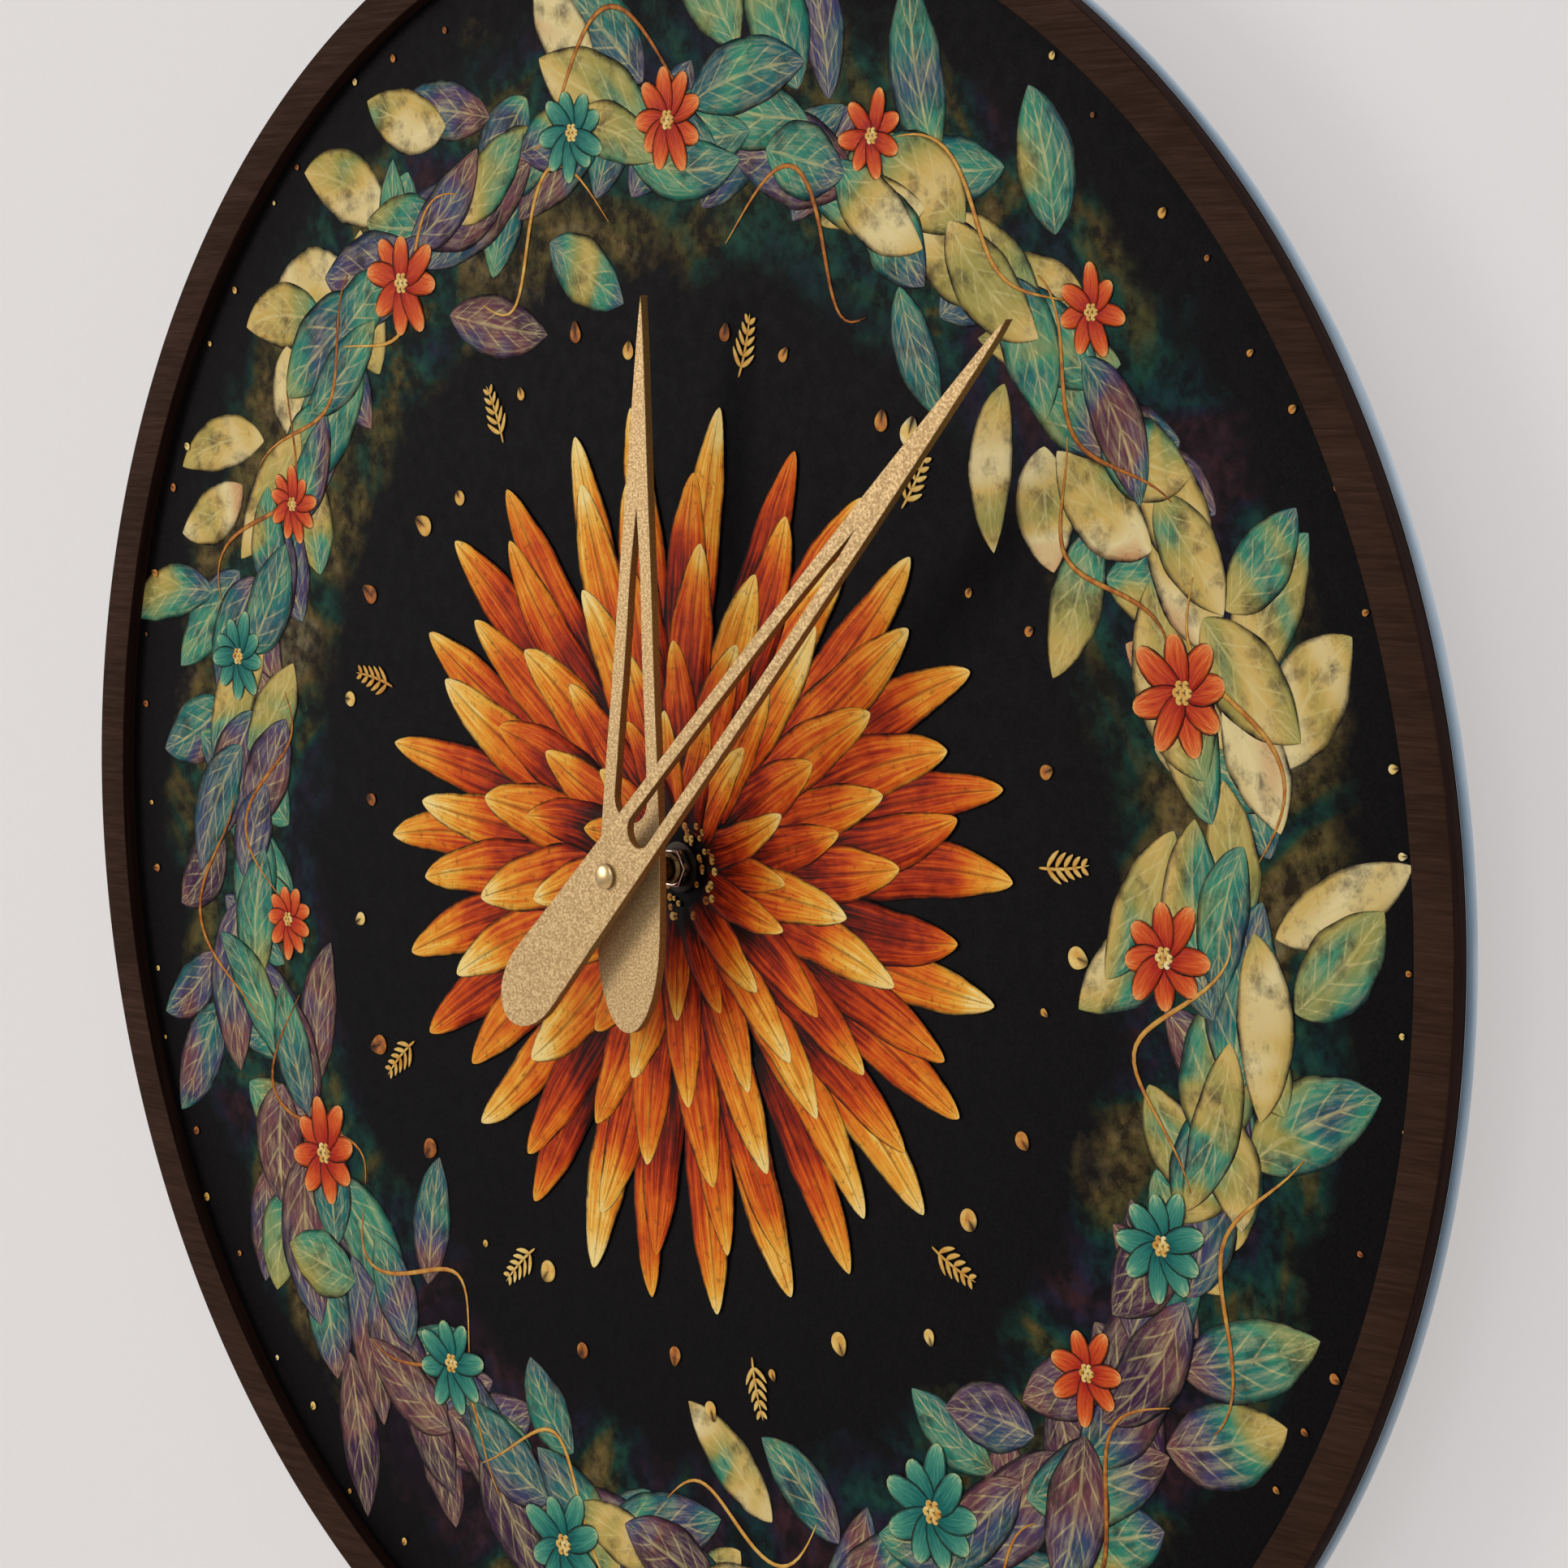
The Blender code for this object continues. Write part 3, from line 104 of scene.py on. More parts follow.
# Facets
RING_SEGMENTS = 384
ROUND_SEGMENTS = 96
CORNER_STEPS = 3
DOME_STEPS = 12
BEVEL_STEPS = 2
OUTLINE_STEPS = 5                        # pieces that a side of a hand's outline is cut into
OUTLINE_CORNER = math.radians(38)        # a turn past this stays a sharp corner of that outline
FLAT_ANGLE = math.radians(1)             # a node's facets that turn less than this are joined
EASED_ANGLE = math.radians(35)           # and its edges that turn more than this are rounded
POINT_DIGITS = 7
WELD = 1e-7                              # points nearer than this become one
NODE_WELD = 1e-6                         # the same on a node's mesh
FACE_SLACK = 0.01 * MM                   # a point this far behind a plate's front still lies on it

# Rounded edges
WOOD_EDGE = 0.3 * MM
ACRYLIC_EDGE = 0.05 * MM
HAND_EDGE = 0.12 * MM
METAL_EDGE = 0.08 * MM
NUT_EDGE = 0.32 * MM
PLASTIC_EDGE = 0.35 * MM
KNOB_EDGE = 0.15 * MM
CELL_EDGE = 0.4 * MM
CAP_EDGE = 0.1 * MM

# Hub
CAP_RIM = 0.3 * MM                       # upright part of the cap nut under its dome
THREAD_PITCH = 0.5 * MM
THREAD_DEPTH = 0.22 * MM

# Print, from the disc's face outwards
FILM_NEAR = 0.02 * MM
FILM_FAR = 0.2 * MM
FILM_EDGE = 0.02 * MM
FILM_RADIUS = 199.95 * MM
INK_START = 0.004 * MM
INK_STEP = 0.0006 * MM
INK_THICKNESS = 0.003 * MM
INK_LEAST = 1e-5                         # holds the ends of a painted shape just off zero width
WAVE_LENGTH_RATE = 17                    # radians of an outline's wave along its shape
WAVE_SEED_RATE = 40                      # and for a change of 1 in the shape's seed
LINE_END = 0.25                          # width of a painted line's ends, as a share of its middle
SEED = 7

# Wreath round the dial and the underpaint behind it
WREATH_INNER = 113 * MM
WREATH_OUTER = 183 * MM
WREATH_MIDDLE = (WREATH_INNER + WREATH_OUTER) / 2
UNDERPAINT_FULL = 20 * MM                # half width of the band where the underpaint is strongest
UNDERPAINT_END = 29 * MM                 # and where it ends
UNDERPAINT_RAGGED = 16 * MM

# Rows of leaves: radius, count, lean in radians, then length and half width in mm
ROW_INSET = 22 * MM
ROW_SCATTER = 5 * MM
LEAF_ROWS = ((WREATH_OUTER - ROW_INSET, 66, 0.8, 32, 7.4),
             (WREATH_INNER + ROW_INSET, 54, math.pi - 0.85, 29, 6.8),
             (WREATH_MIDDLE, 64, 0.15, 36, 8.2),
             (WREATH_MIDDLE, 50, math.pi + 0.3, 30, 7.0))

# Tendrils and blossoms among the leaves, with berries sized as shares of their blossom
TENDRILS = 22
TENDRIL_STEPS = 26
TENDRIL_REACH = 0.34                     # radians round the dial
TENDRIL_HALF_WIDTH = 0.55 * MM
TENDRIL_SCATTER = 18 * MM
BLOSSOMS = 17
BLOSSOM_SCATTER = 20 * MM
BLOSSOM_BREADTH = 0.25
BERRIES = 7                              # one in a blossom's middle and the rest round it
BERRY_PLACE = 0.13
BERRY_RADIUS = 0.07

# Rings of the bloom at the hub: inner and outer radius and half width of its petals in mm, their count, and
# the share of a petal's shape that its root skips
BLOOM_RINGS = ((42, 95, 6.0, 26, 0.10), (34, 84, 6.6, 24, 0.16), (24, 66, 6.6, 21, 0.2),
               (15, 49, 6.0, 18, 0.25), (8, 33, 4.6, 15, 0.3))
STAMENS = 60
STAMEN_REACH = 11 * MM

# Gold in the dark gaps inside and outside the wreath: counts, and bands as least and greatest radius in mm
DROPS = 30
DROP_BAND = (98, 112)
RIM_DOTS = 64
RIM_BAND = (183, 190)
SPRIGS = 9
SPRIG_BAND = (97, 101)
SPRIG_LENGTH = 13 * MM
SPRIG_HALF_WIDTH = 0.35 * MM
SPRIG_PAIRS = 5
SPRIG_STEP = 2.2 * MM
SPRIG_LEAF_LENGTH = 5.2 * MM             # less one shrink for each pair from the root
SPRIG_LEAF_SHRINK = 0.6 * MM
SPRIG_LEAF_HALF_WIDTH = 0.6 * MM
SPRIG_LEAF_LEAN = 0.8                    # radians from the stem

# Painted outlines: how they swell from the root and taper to the tip, their grid of points and their wave
LEAF = {"swell": 0.75, "taper": 0.85, "rows": 26, "columns": 4, "wave": 0.025}
PETAL = {"swell": 0.55, "taper": 0.62, "rows": 26, "columns": 4, "wave": 0.035}
BLOSSOM_PETAL = {"swell": 0.5, "taper": 0.45, "rows": 9, "columns": 4}
SPRIG_STEM = {"swell": 0.2, "taper": 0.5, "rows": 8, "columns": 2}
SPRIG_LEAF = {"swell": 0.5, "taper": 0.7, "rows": 7, "columns": 2}


def depths(node):
    """Depth of a node's rear and front faces."""
    low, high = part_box(node)
    return -high.y, -low.y


def radii(node):
    """Least and greatest distance of a node's points from the hub axis."""
    found = [math.hypot(v.co.x, v.co.z) for v in frame["nodes"][node].data.vertices]
    return min(found), max(found)


def body_of(node):
    """Name of the body that a node rides on."""
    return frame["nodes"][node]["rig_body"]


def link(made):
    """Puts a new object in the scene."""
    bpy.context.scene.collection.objects.link(made)
    return made


# Materials

def srgb(red, green, blue):
    """A colour written as 0 to 255 values, for a node socket."""
    parts = [c / 255 for c in (red, green, blue)]
    return tuple(c / 12.92 if c <= 0.04045 else ((c + 0.055) / 1.055) ** 2.4 for c in parts) + (1.0,)


class Look:
    """A principled material and short ways to add nodes to it."""

    def __init__(self, name, **sockets):
        self.material = bpy.data.materials.new(name)
        self.material.use_nodes = True
        self.tree = self.material.node_tree
        self.bsdf = self.tree.nodes["Principled BSDF"]
        for key, value in sockets.items():
            self.bsdf.inputs[key.replace("_", " ")].default_value = value

    def add(self, kind, inputs=(), **settings):
        """A new node, with values or links for its inputs."""
        node = self.tree.nodes.new("ShaderNode" + kind)
        for key, value in settings.items():
            setattr(node, key, value)
        for key, value in dict(inputs).items():
            self.feed(node.inputs[key], value)
        return node

    def feed(self, socket, value):
        """Links a socket to another, or sets its value."""
        if isinstance(value, bpy.types.NodeSocket):
            self.tree.links.new(value, socket)
        else:
            socket.default_value = value

    def place(self, scale=(1.0, 1.0, 1.0)):
        """Object coordinates, scaled on each axis."""
        source = self.add("TexCoord").outputs["Object"]
        return self.add("Mapping", {"Vector": source, "Scale": scale}).outputs[0]

    def parts(self, vector):
        """The x, y and z of a vector."""
        return self.add("SeparateXYZ", {0: vector}).outputs[:]

    def normal_y(self):
        """The y of the surface's normal: -1 on a front face, 0 on a side and 1 on a rear face."""
        return self.parts(self.add("TexCoord").outputs["Normal"])[1]

    def painted(self):
        """Where a point lies along and across its painted shape, and the shape's seed."""
        return self.parts(self.add("Attribute", attribute_name="paint").outputs["Vector"])

    def math(self, operation, first, second=0.0):
        """What an operation makes of one or two values."""
        return self.add("Math", {0: first, 1: second}, operation=operation).outputs[0]

    def shared(self, first, second, share):
        """A share of the first value and the rest of the second."""
        return self.math("ADD", self.math("MULTIPLY", first, share), self.math("MULTIPLY", second, 1 - share))

    def spread(self, value, low, high, to_low=0.0, to_high=1.0):
        """A value moved from one range to another and held within it."""
        ranges = {"From Min": low, "From Max": high, "To Min": to_low, "To Max": to_high}
        return self.add("MapRange", {"Value": value, **ranges}).outputs[0]

    def noise(self, vector, scale, detail=3.0, roughness=0.55, distortion=0.0):
        """Cloudy noise between 0 and 1."""
        settings = {"Scale": scale, "Detail": detail, "Roughness": roughness, "Distortion": distortion}
        return self.add("TexNoise", {"Vector": vector, **settings}).outputs["Fac"]

    def brushed(self, paint, stretch, scale, detail, roughness):
        """Noise drawn out along a painted shape, and unlike on each shape."""
        scaled = [self.math("MULTIPLY", part, factor) for part, factor in zip(paint, stretch)]
        vector = self.add("CombineXYZ", dict(enumerate(scaled))).outputs[0]
        return self.noise(vector, scale, detail, roughness)

    def ramp(self, value, stops, interpolation="LINEAR"):
        """A value turned into a colour, from places along the ramp and their 0 to 255 colours."""
        node = self.add("ValToRGB", {"Fac": value})
        node.color_ramp.interpolation = interpolation
        elements = node.color_ramp.elements
        while len(elements) < len(stops):
            elements.new(0.5)
        for element, (place, colour) in zip(elements, stops.items()):
            element.position = place
            element.color = srgb(*colour)
        return node.outputs["Color"]

    def mix(self, share, first, second, blend="MIX"):
        """The first colour, with a share of the second. The node has its colours on sockets 6, 7 and 2."""
        node = self.add("Mix", data_type="RGBA", blend_type=blend)
        self.feed(node.inputs["Factor"], share)
        self.feed(node.inputs[6], first)
        self.feed(node.inputs[7], second)
        return node.outputs[2]

    def bump(self, height, distance):
        """Fine relief that follows a value."""
        node = self.add("Bump", {"Height": height, "Distance": distance, "Strength": 1.0})
        self.feed(self.bsdf.inputs["Normal"], node.outputs[0])

    def colour(self, value):
        self.feed(self.bsdf.inputs["Base Color"], value)

    def rough(self, value):
        self.feed(self.bsdf.inputs["Roughness"], value)

    def outlined(self, colour, side, low=0.84, high=1.0, ink=(18, 12, 10)):
        """Darkens a painted shape towards its outline, raggedly."""
        ragged = self.spread(self.noise(self.place(), 260.0, 3.0), 0.0, 1.0, -0.12, 0.12)
        return self.mix(self.spread(self.math("ADD", side, ragged), low, high), colour, srgb(*ink))


def wood():
    """Dark stained plywood with fine level grain on its faces and scorched laser-cut edges."""
    look = Look("walnut_stained_ply", Specular_IOR_Level=0.03)
    fine = look.noise(look.place((70.0, 60.0, 1500.0)), 1.0, 5.0, 0.7)
    broad = look.noise(look.place((6.0, 20.0, 70.0)), 1.0)
    face = look.ramp(look.shared(fine, broad, 0.75),
                     {0.30: (36, 22, 14), 0.46: (46, 29, 19), 0.56: (53, 34, 24), 0.70: (66, 44, 33)})
    plies = look.noise(look.place((30.0, 1400.0, 30.0)), 1.0, 2.0)
    edge = look.ramp(plies, {0.35: (24, 12, 9), 0.65: (36, 20, 15)})
    look.colour(look.mix(look.spread(look.math("ABSOLUTE", look.normal_y()), 0.5, 0.8), edge, face))
    look.rough(look.spread(fine, 0.3, 0.7, 0.66, 0.52))
    look.bump(fine, 0.02 * MM)
    return look.material


def acrylic():
    """Clear cast sheet."""
    look = Look("clear_acrylic", Transmission_Weight=1.0, IOR=1.49)
    haze = look.noise(look.place(), 60.0, 2.0)
    look.colour(look.ramp(haze, {0.3: (222, 234, 240), 0.7: (230, 240, 244)}))
    look.rough(look.spread(haze, 0.3, 0.7, 0.02, 0.05))
    return look.material


def acrylic_edge():
    """The sheet's polished edge, with painted shade and light: dark blue-grey by the ring and paler towards
    the wall.
    """
    look = Look("acrylic_edge", Transmission_Weight=0.2, IOR=1.49)
    along = look.noise(look.place((60.0, 400.0, 60.0)), 1.0, 2.0)
    rear, front = depths("acrylic_disc")
    y = look.parts(look.place())[1]
    # Painted shade and light: the edge's colour follows its depth, dark where the ring shades it and pale
    # where the wall lights it
    share = look.math("ADD", look.spread(y, -front, -rear), look.spread(along, 0.3, 0.7, -0.08, 0.08))
    look.colour(look.ramp(share, {0.0: (52, 70, 86), 0.35: (94, 114, 130), 0.7: (138, 154, 167),
                                  1.0: (176, 186, 195)}))
    look.rough(look.spread(along, 0.3, 0.7, 0.32, 0.40))
    return look.material


# Violets, blues, greens and ochres of the leaves and the underpaint
MOTTLE = {0.30: (58, 30, 58), 0.37: (104, 56, 62), 0.42: (58, 56, 92), 0.47: (22, 92, 92),
          0.52: (50, 128, 98), 0.56: (146, 136, 66), 0.61: (196, 160, 84), 0.67: (218, 196, 142),
          0.75: (176, 92, 44)}


def printed_ground():
    """Near-black satin print, with a faint ring of mottled underpaint on its front behind the wreath."""
    look = Look("print_ground", Specular_IOR_Level=0.04)
    grain = look.noise(look.place(), 1500.0, 2.0)
    black = look.ramp(grain, {0.3: (7, 5, 6), 0.7: (17, 14, 15)})
    x, _, z = look.parts(look.place())
    radius = look.math("SQRT", look.math("ADD", look.math("MULTIPLY", x, x), look.math("MULTIPLY", z, z)))
    clouds = look.noise(look.place(), 42.0, 5.0, 0.65)
    ragged = look.math("ADD", radius, look.spread(clouds, 0.0, 1.0, -UNDERPAINT_RAGGED, UNDERPAINT_RAGGED))
    away = look.math("ABSOLUTE", look.math("SUBTRACT", ragged, WREATH_MIDDLE))
    inside = look.spread(away, UNDERPAINT_FULL, UNDERPAINT_END, 0.6, 0.0)
    worn = look.spread(look.noise(look.place(), 210.0, 5.0, 0.7), 0.40, 0.62, 0.1, 0.9)
    mottled = look.ramp(look.noise(look.place(), 17.0, 4.0, 0.6, 1.2), MOTTLE)
    under = look.mix(0.6, mottled, srgb(20, 16, 20))
    in_front = look.math("LESS_THAN", look.normal_y(), -0.5)
    share = look.math("MULTIPLY", look.math("MULTIPLY", inside, worn), in_front)
    look.colour(look.mix(share, black, under))
    look.rough(look.spread(look.noise(look.place(), 300.0), 0.3, 0.7, 0.5, 0.6))
    look.bump(grain, 0.008 * MM)
    return look.material


def painted_petals():
    """Brushed petals: dark red at the root, through orange and amber to pale gold."""
    look = Look("print_petals", Specular_IOR_Level=0.06)
    along, across, seed = look.painted()
    side = look.math("ABSOLUTE", across)
    streak = look.brushed((along, across, seed), (2.6, 5.0, 41.0), 1.6, 5.0, 0.65)
    blotch = look.noise(look.place(), 48.0, 4.0, 0.6)
    place = look.math("ADD", along, look.spread(streak, 0.25, 0.75, -0.22, 0.22))
    place = look.math("ADD", place, look.spread(blotch, 0.3, 0.7, -0.16, 0.16))
    place = look.math("ADD", place, look.spread(seed, 0.0, 1.0, -0.20, 0.16))
    colour = look.ramp(place, {0.0: (10, 6, 5), 0.20: (52, 12, 6), 0.36: (140, 30, 8), 0.52: (196, 70, 14),
                               0.68: (216, 120, 26), 0.84: (228, 166, 58), 1.0: (236, 204, 128)})
    rib = look.spread(side, 0.02, 0.10, 0.55, 1.0)
    grey_rib = look.add("CombineColor", {0: rib, 1: rib, 2: rib}).outputs[0]
    colour = look.mix(1.0, colour, grey_rib, "MULTIPLY")
    flecks = look.spread(look.noise(look.place(), 620.0, 4.0, 0.7), 0.56, 0.68)
    colour = look.mix(look.math("MULTIPLY", flecks, 0.45), colour, srgb(40, 20, 10))
    look.colour(look.outlined(colour, side))
    look.rough(look.spread(streak, 0.3, 0.7, 0.46, 0.58))
    return look.material


def painted_leaves():
    """Leaves in mottled greens, ochres and violets with light veins."""
    look = Look("print_leaves", Specular_IOR_Level=0.06)
    along, across, seed = look.painted()
    side = look.math("ABSOLUTE", across)
    patches = look.noise(look.place(), 12.0, 3.0, 0.55, 1.0)
    colour = look.ramp(look.math("ADD", patches, look.spread(seed, 0.0, 1.0, -0.12, 0.12)), MOTTLE)
    daub = look.brushed((along, across, seed), (3.0, 3.0, 53.0), 2.4, 5.0, 0.7)
    colour = look.mix(look.spread(daub, 0.45, 0.75, 0.0, 0.5), colour, srgb(206, 186, 132))
    dark = look.spread(look.noise(look.place(), 150.0, 5.0, 0.7), 0.50, 0.68, 0.0, 0.7)
    colour = look.mix(dark, colour, srgb(34, 26, 32))
    slanted = look.math("SUBTRACT", look.math("MULTIPLY", along, 52.0), look.math("MULTIPLY", side, 11.0))
    wave = look.math("SINE", slanted)
    veins = look.math("MULTIPLY", look.spread(wave, 0.86, 1.0), look.spread(side, 0.85, 0.55))
    veins = look.math("MAXIMUM", veins, look.spread(side, 0.07, 0.03))
    veins = look.math("MULTIPLY", veins, look.spread(daub, 0.35, 0.65, 0.15, 0.6))
    colour = look.mix(veins, colour, srgb(206, 186, 122))
    look.colour(look.outlined(colour, side, 0.82, 1.0, (20, 16, 20)))
    look.rough(look.spread(daub, 0.3, 0.7, 0.46, 0.58))
    return look.material


def painted_gold():
    """Gold drops, dots, sprigs and tendrils."""
    look = Look("print_gold", Specular_IOR_Level=0.1)
    along, across, seed = look.painted()
    shade = look.noise(look.place(), 420.0, 3.0, 0.6)
    place = look.math("ADD", look.math("MULTIPLY", seed, 0.75), look.spread(shade, 0.3, 0.7, -0.15, 0.15))
    place = look.math("ADD", place, look.spread(along, 0.0, 1.0, -0.05, 0.15))
    colour = look.ramp(place, {0.05: (96, 48, 20), 0.25: (170, 96, 34), 0.5: (204, 150, 66),
                               0.8: (224, 190, 110), 1.0: (236, 220, 176)})
    look.colour(look.outlined(colour, look.math("ABSOLUTE", across), 0.7, 1.0, (52, 28, 12)))
    look.rough(look.spread(shade, 0.3, 0.7, 0.38, 0.5))
    return look.material


def painted_blossoms():
    """Small blossoms, red-orange or teal by their seed, pale towards the tips."""
    look = Look("print_blossoms", Specular_IOR_Level=0.06)
    along, across, seed = look.painted()
    streak = look.brushed((along, across, seed), (2.0, 4.0, 61.0), 2.0, 4.0, 0.65)
    place = look.math("ADD", along, look.spread(streak, 0.3, 0.7, -0.2, 0.2))
    warm = look.ramp(place, {0.0: (64, 10, 10), 0.35: (164, 34, 18), 0.7: (204, 84, 30), 1.0: (226, 160, 90)})
    cool = look.ramp(place, {0.0: (8, 34, 40), 0.4: (20, 96, 88), 0.75: (74, 138, 112), 1.0: (176, 184, 130)})
    colour = look.mix(look.math("GREATER_THAN", seed, 0.5), warm, cool)
    look.colour(look.outlined(colour, look.math("ABSOLUTE", across), 0.75, 0.97, (24, 12, 12)))
    look.rough(look.spread(streak, 0.3, 0.7, 0.40, 0.52))
    return look.material


def cast_gold():
    """Champagne coated metal with a fine orange-peel grain, darker and browner on the cut edges."""
    look = Look("champagne_gold", Metallic=0.6)
    peel = look.noise(look.place((1900.0, 1900.0, 2300.0)), 1.0, 2.0, 0.5)
    face = look.ramp(peel, {0.36: (158, 127, 83), 0.50: (177, 145, 98), 0.63: (201, 170, 122)})
    side = look.ramp(peel, {0.3: (122, 87, 41), 0.7: (150, 111, 60)})
    look.colour(look.mix(look.spread(look.math("ABSOLUTE", look.normal_y()), 0.25, 0.6), side, face))
    look.rough(look.spread(peel, 0.3, 0.7, 0.56, 0.48))
    look.bump(peel, 0.05 * MM)
    return look.material


def metal(name, light, dark, rough_low, rough_high, grain=400.0):
    """A metal with faint brushing and wear in its roughness."""
    look = Look(name, Metallic=1.0)
    brushing = look.noise(look.place((1.0, 3.0, 1.0)), grain, 3.0, 0.6)
    look.colour(look.ramp(brushing, {0.3: dark, 0.7: light}))
    look.rough(look.spread(brushing, 0.3, 0.7, rough_low, rough_high))
    look.bump(brushing, 0.004 * MM)
    return look.material


def plastic(name, light, dark, rough_low, rough_high, grain=1400.0, depth=0.02 * MM):
    """Moulded plastic with a fine spark-eroded texture."""
    look = Look(name, Specular_IOR_Level=0.45)
    texture = look.noise(look.place(), grain, 2.0, 0.6)
    broad = look.noise(look.place(), 90.0)
    look.colour(look.ramp(look.shared(texture, broad, 0.6), {0.35: dark, 0.65: light}))
    look.rough(look.spread(broad, 0.3, 0.7, rough_low, rough_high))
    look.bump(texture, depth)
    return look.material


def cell_jacket(start, end):
    """An AA cell's printed jacket: black body, copper shoulder band and bare steel ends."""
    look = Look("cell_jacket", Metallic=0.55)
    share = look.spread(look.parts(look.place())[0], start, end)
    scuffs = look.noise(look.place((1.0, 4.0, 4.0)), 160.0, 4.0, 0.7)
    steel, black, copper = (178, 176, 170), (24, 24, 26), (176, 104, 58)
    bands = look.ramp(share, {0.0: steel, 0.015: black, 0.70: copper, 0.955: steel}, "CONSTANT")
    look.colour(look.mix(look.spread(scuffs, 0.60, 0.72, 0.0, 0.4), bands, srgb(120, 116, 110)))
    look.rough(look.spread(scuffs, 0.3, 0.7, 0.28, 0.42))
    return look.material


# Shapes

def mesh_object(name, mesh, material, body, sharp=30.0):
    """A named object that rides on a body, smooth but for edges that turn more than an angle in degrees."""
    bmesh.ops.recalc_face_normals(mesh, faces=mesh.faces)
    data = bpy.data.meshes.new(name)
    mesh.to_mesh(data)
    mesh.free()
    data.shade_smooth()
    data.set_sharp_from_angle(angle=math.radians(sharp))
    data.materials.append(material)
    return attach(link(bpy.data.objects.new(name, data)), body)


def corner(radius, depth, size, start):
    """A quarter round of a profile, round a centre, from a start angle."""
    turns = [start + math.pi / 2 * k / CORNER_STEPS for k in range(CORNER_STEPS + 1)]
    return [(radius + size * math.cos(a), depth + size * math.sin(a)) for a in turns]


def washer_profile(inner, outer, near, far, edge):
    """A closed profile with four rounded corners."""
    return (corner(outer - edge, far - edge, edge, 0.0) + corner(inner + edge, far - edge, edge, math.pi / 2)
            + corner(inner + edge, near + edge, edge, math.pi)
            + corner(outer - edge, near + edge, edge, 3 * math.pi / 2))


def lathe(name, profile, material, body, segments=ROUND_SEGMENTS):
    """A closed profile of (radius, depth) points turned round the hub axis."""
    mesh = bmesh.new()
    loops = []
    for k in range(segments):
        turn = math.tau * k / segments
        loops.append([mesh.verts.new((r * math.cos(turn), -d, r * math.sin(turn))) for r, d in profile])
    for here, there in zip(loops, loops[1:] + loops[:1]):
        for k in range(len(profile)):
            after = (k + 1) % len(profile)
            mesh.faces.new((here[k], here[after], there[after], there[k]))
    bmesh.ops.remove_doubles(mesh, verts=mesh.verts, dist=WELD)
    return mesh_object(name, mesh, material, body)


def front_loops(node):
    """The closed outlines of a plate's front face, as (x, z) points read from its mesh."""
    data = frame["nodes"][node].data
    front = min(v.co.y for v in data.vertices)
    data.calc_loop_triangles()
    owners = {}
    for triangle in data.loop_triangles:
        points = [data.vertices[k].co for k in triangle.vertices]
        if all(p.y < front + FACE_SLACK for p in points):
            keys = [(round(p.x, POINT_DIGITS), round(p.z, POINT_DIGITS)) for p in points]
            for pair in zip(keys, keys[1:] + keys[:1]):
                owners[frozenset(pair)] = owners.get(frozenset(pair), 0) + 1
    neighbours = {}
    for pair, count in owners.items():
        if count == 1 and len(pair) == 2:
            a, b = pair
            neighbours.setdefault(a, []).append(b)
            neighbours.setdefault(b, []).append(a)
    loops = []
    while neighbours:
        loop = [next(iter(neighbours))]
        while True:
            ahead = [p for p in neighbours.get(loop[-1], []) if p not in loop]
            if not ahead:
                break
            loop.append(ahead[0])
        for point in loop:
            neighbours.pop(point)
        loops.append(loop)
    return loops


def finer(loop):
    """A loop with points added between its own on smooth cubic curves, which keep its sharp corners."""
    points = [Vector(p) for p in loop]
    count = len(points)

    def is_corner(k):
        before = points[k] - points[k - 1]
        after = points[(k + 1) % count] - points[k]
        return before.angle(after) > OUTLINE_CORNER

    made = []
    for k in range(count):
        here, there = points[k], points[(k + 1) % count]
        behind = here if is_corner(k) else points[k - 1]
        beyond = there if is_corner((k + 1) % count) else points[(k + 2) % count]
        span = (there - here).length
        leave = (there - behind).normalized() * span if behind != here else (there - here)
        arrive = (beyond - here).normalized() * span if beyond != there else (there - here)
        for j in range(OUTLINE_STEPS):
            t = j / OUTLINE_STEPS
            made.append((2 * t ** 3 - 3 * t ** 2 + 1) * here + (t ** 3 - 2 * t ** 2 + t) * leave
                        + (3 * t ** 2 - 2 * t ** 3) * there + (t ** 3 - t ** 2) * arrive)
    return made


def rounded_plate(name, loops, near, far, edge, material, body):
    """A plate between two depths with rounded edges, from closed (x, z) loops."""
    curve = bpy.data.curves.new(name, "CURVE")
    curve.dimensions = "2D"
    curve.fill_mode = "BOTH"
    curve.extrude = (far - near) / 2 - edge
    curve.bevel_depth = edge
    curve.bevel_resolution = BEVEL_STEPS
    curve.offset = -edge
    for loop in loops:
        spline = curve.splines.new("POLY")
        spline.points.add(len(loop) - 1)
        for target, point in zip(spline.points, loop):
            target.co = (point[0], point[1], 0.0, 1.0)
        spline.use_cyclic_u = True
    drawn = link(bpy.data.objects.new(name, curve))
    bpy.context.view_layer.update()
    mesh = bmesh.new()
    mesh.from_mesh(drawn.to_mesh())
    bpy.data.objects.remove(drawn)
    bmesh.ops.remove_doubles(mesh, verts=mesh.verts, dist=WELD)
    upright = Matrix.Translation((0.0, -(near + far) / 2, 0.0)) @ Matrix.Rotation(math.pi / 2, 4, "X")
    bmesh.ops.transform(mesh, matrix=upright, verts=mesh.verts)
    return mesh_object(name, mesh, material, body, sharp=12.0)


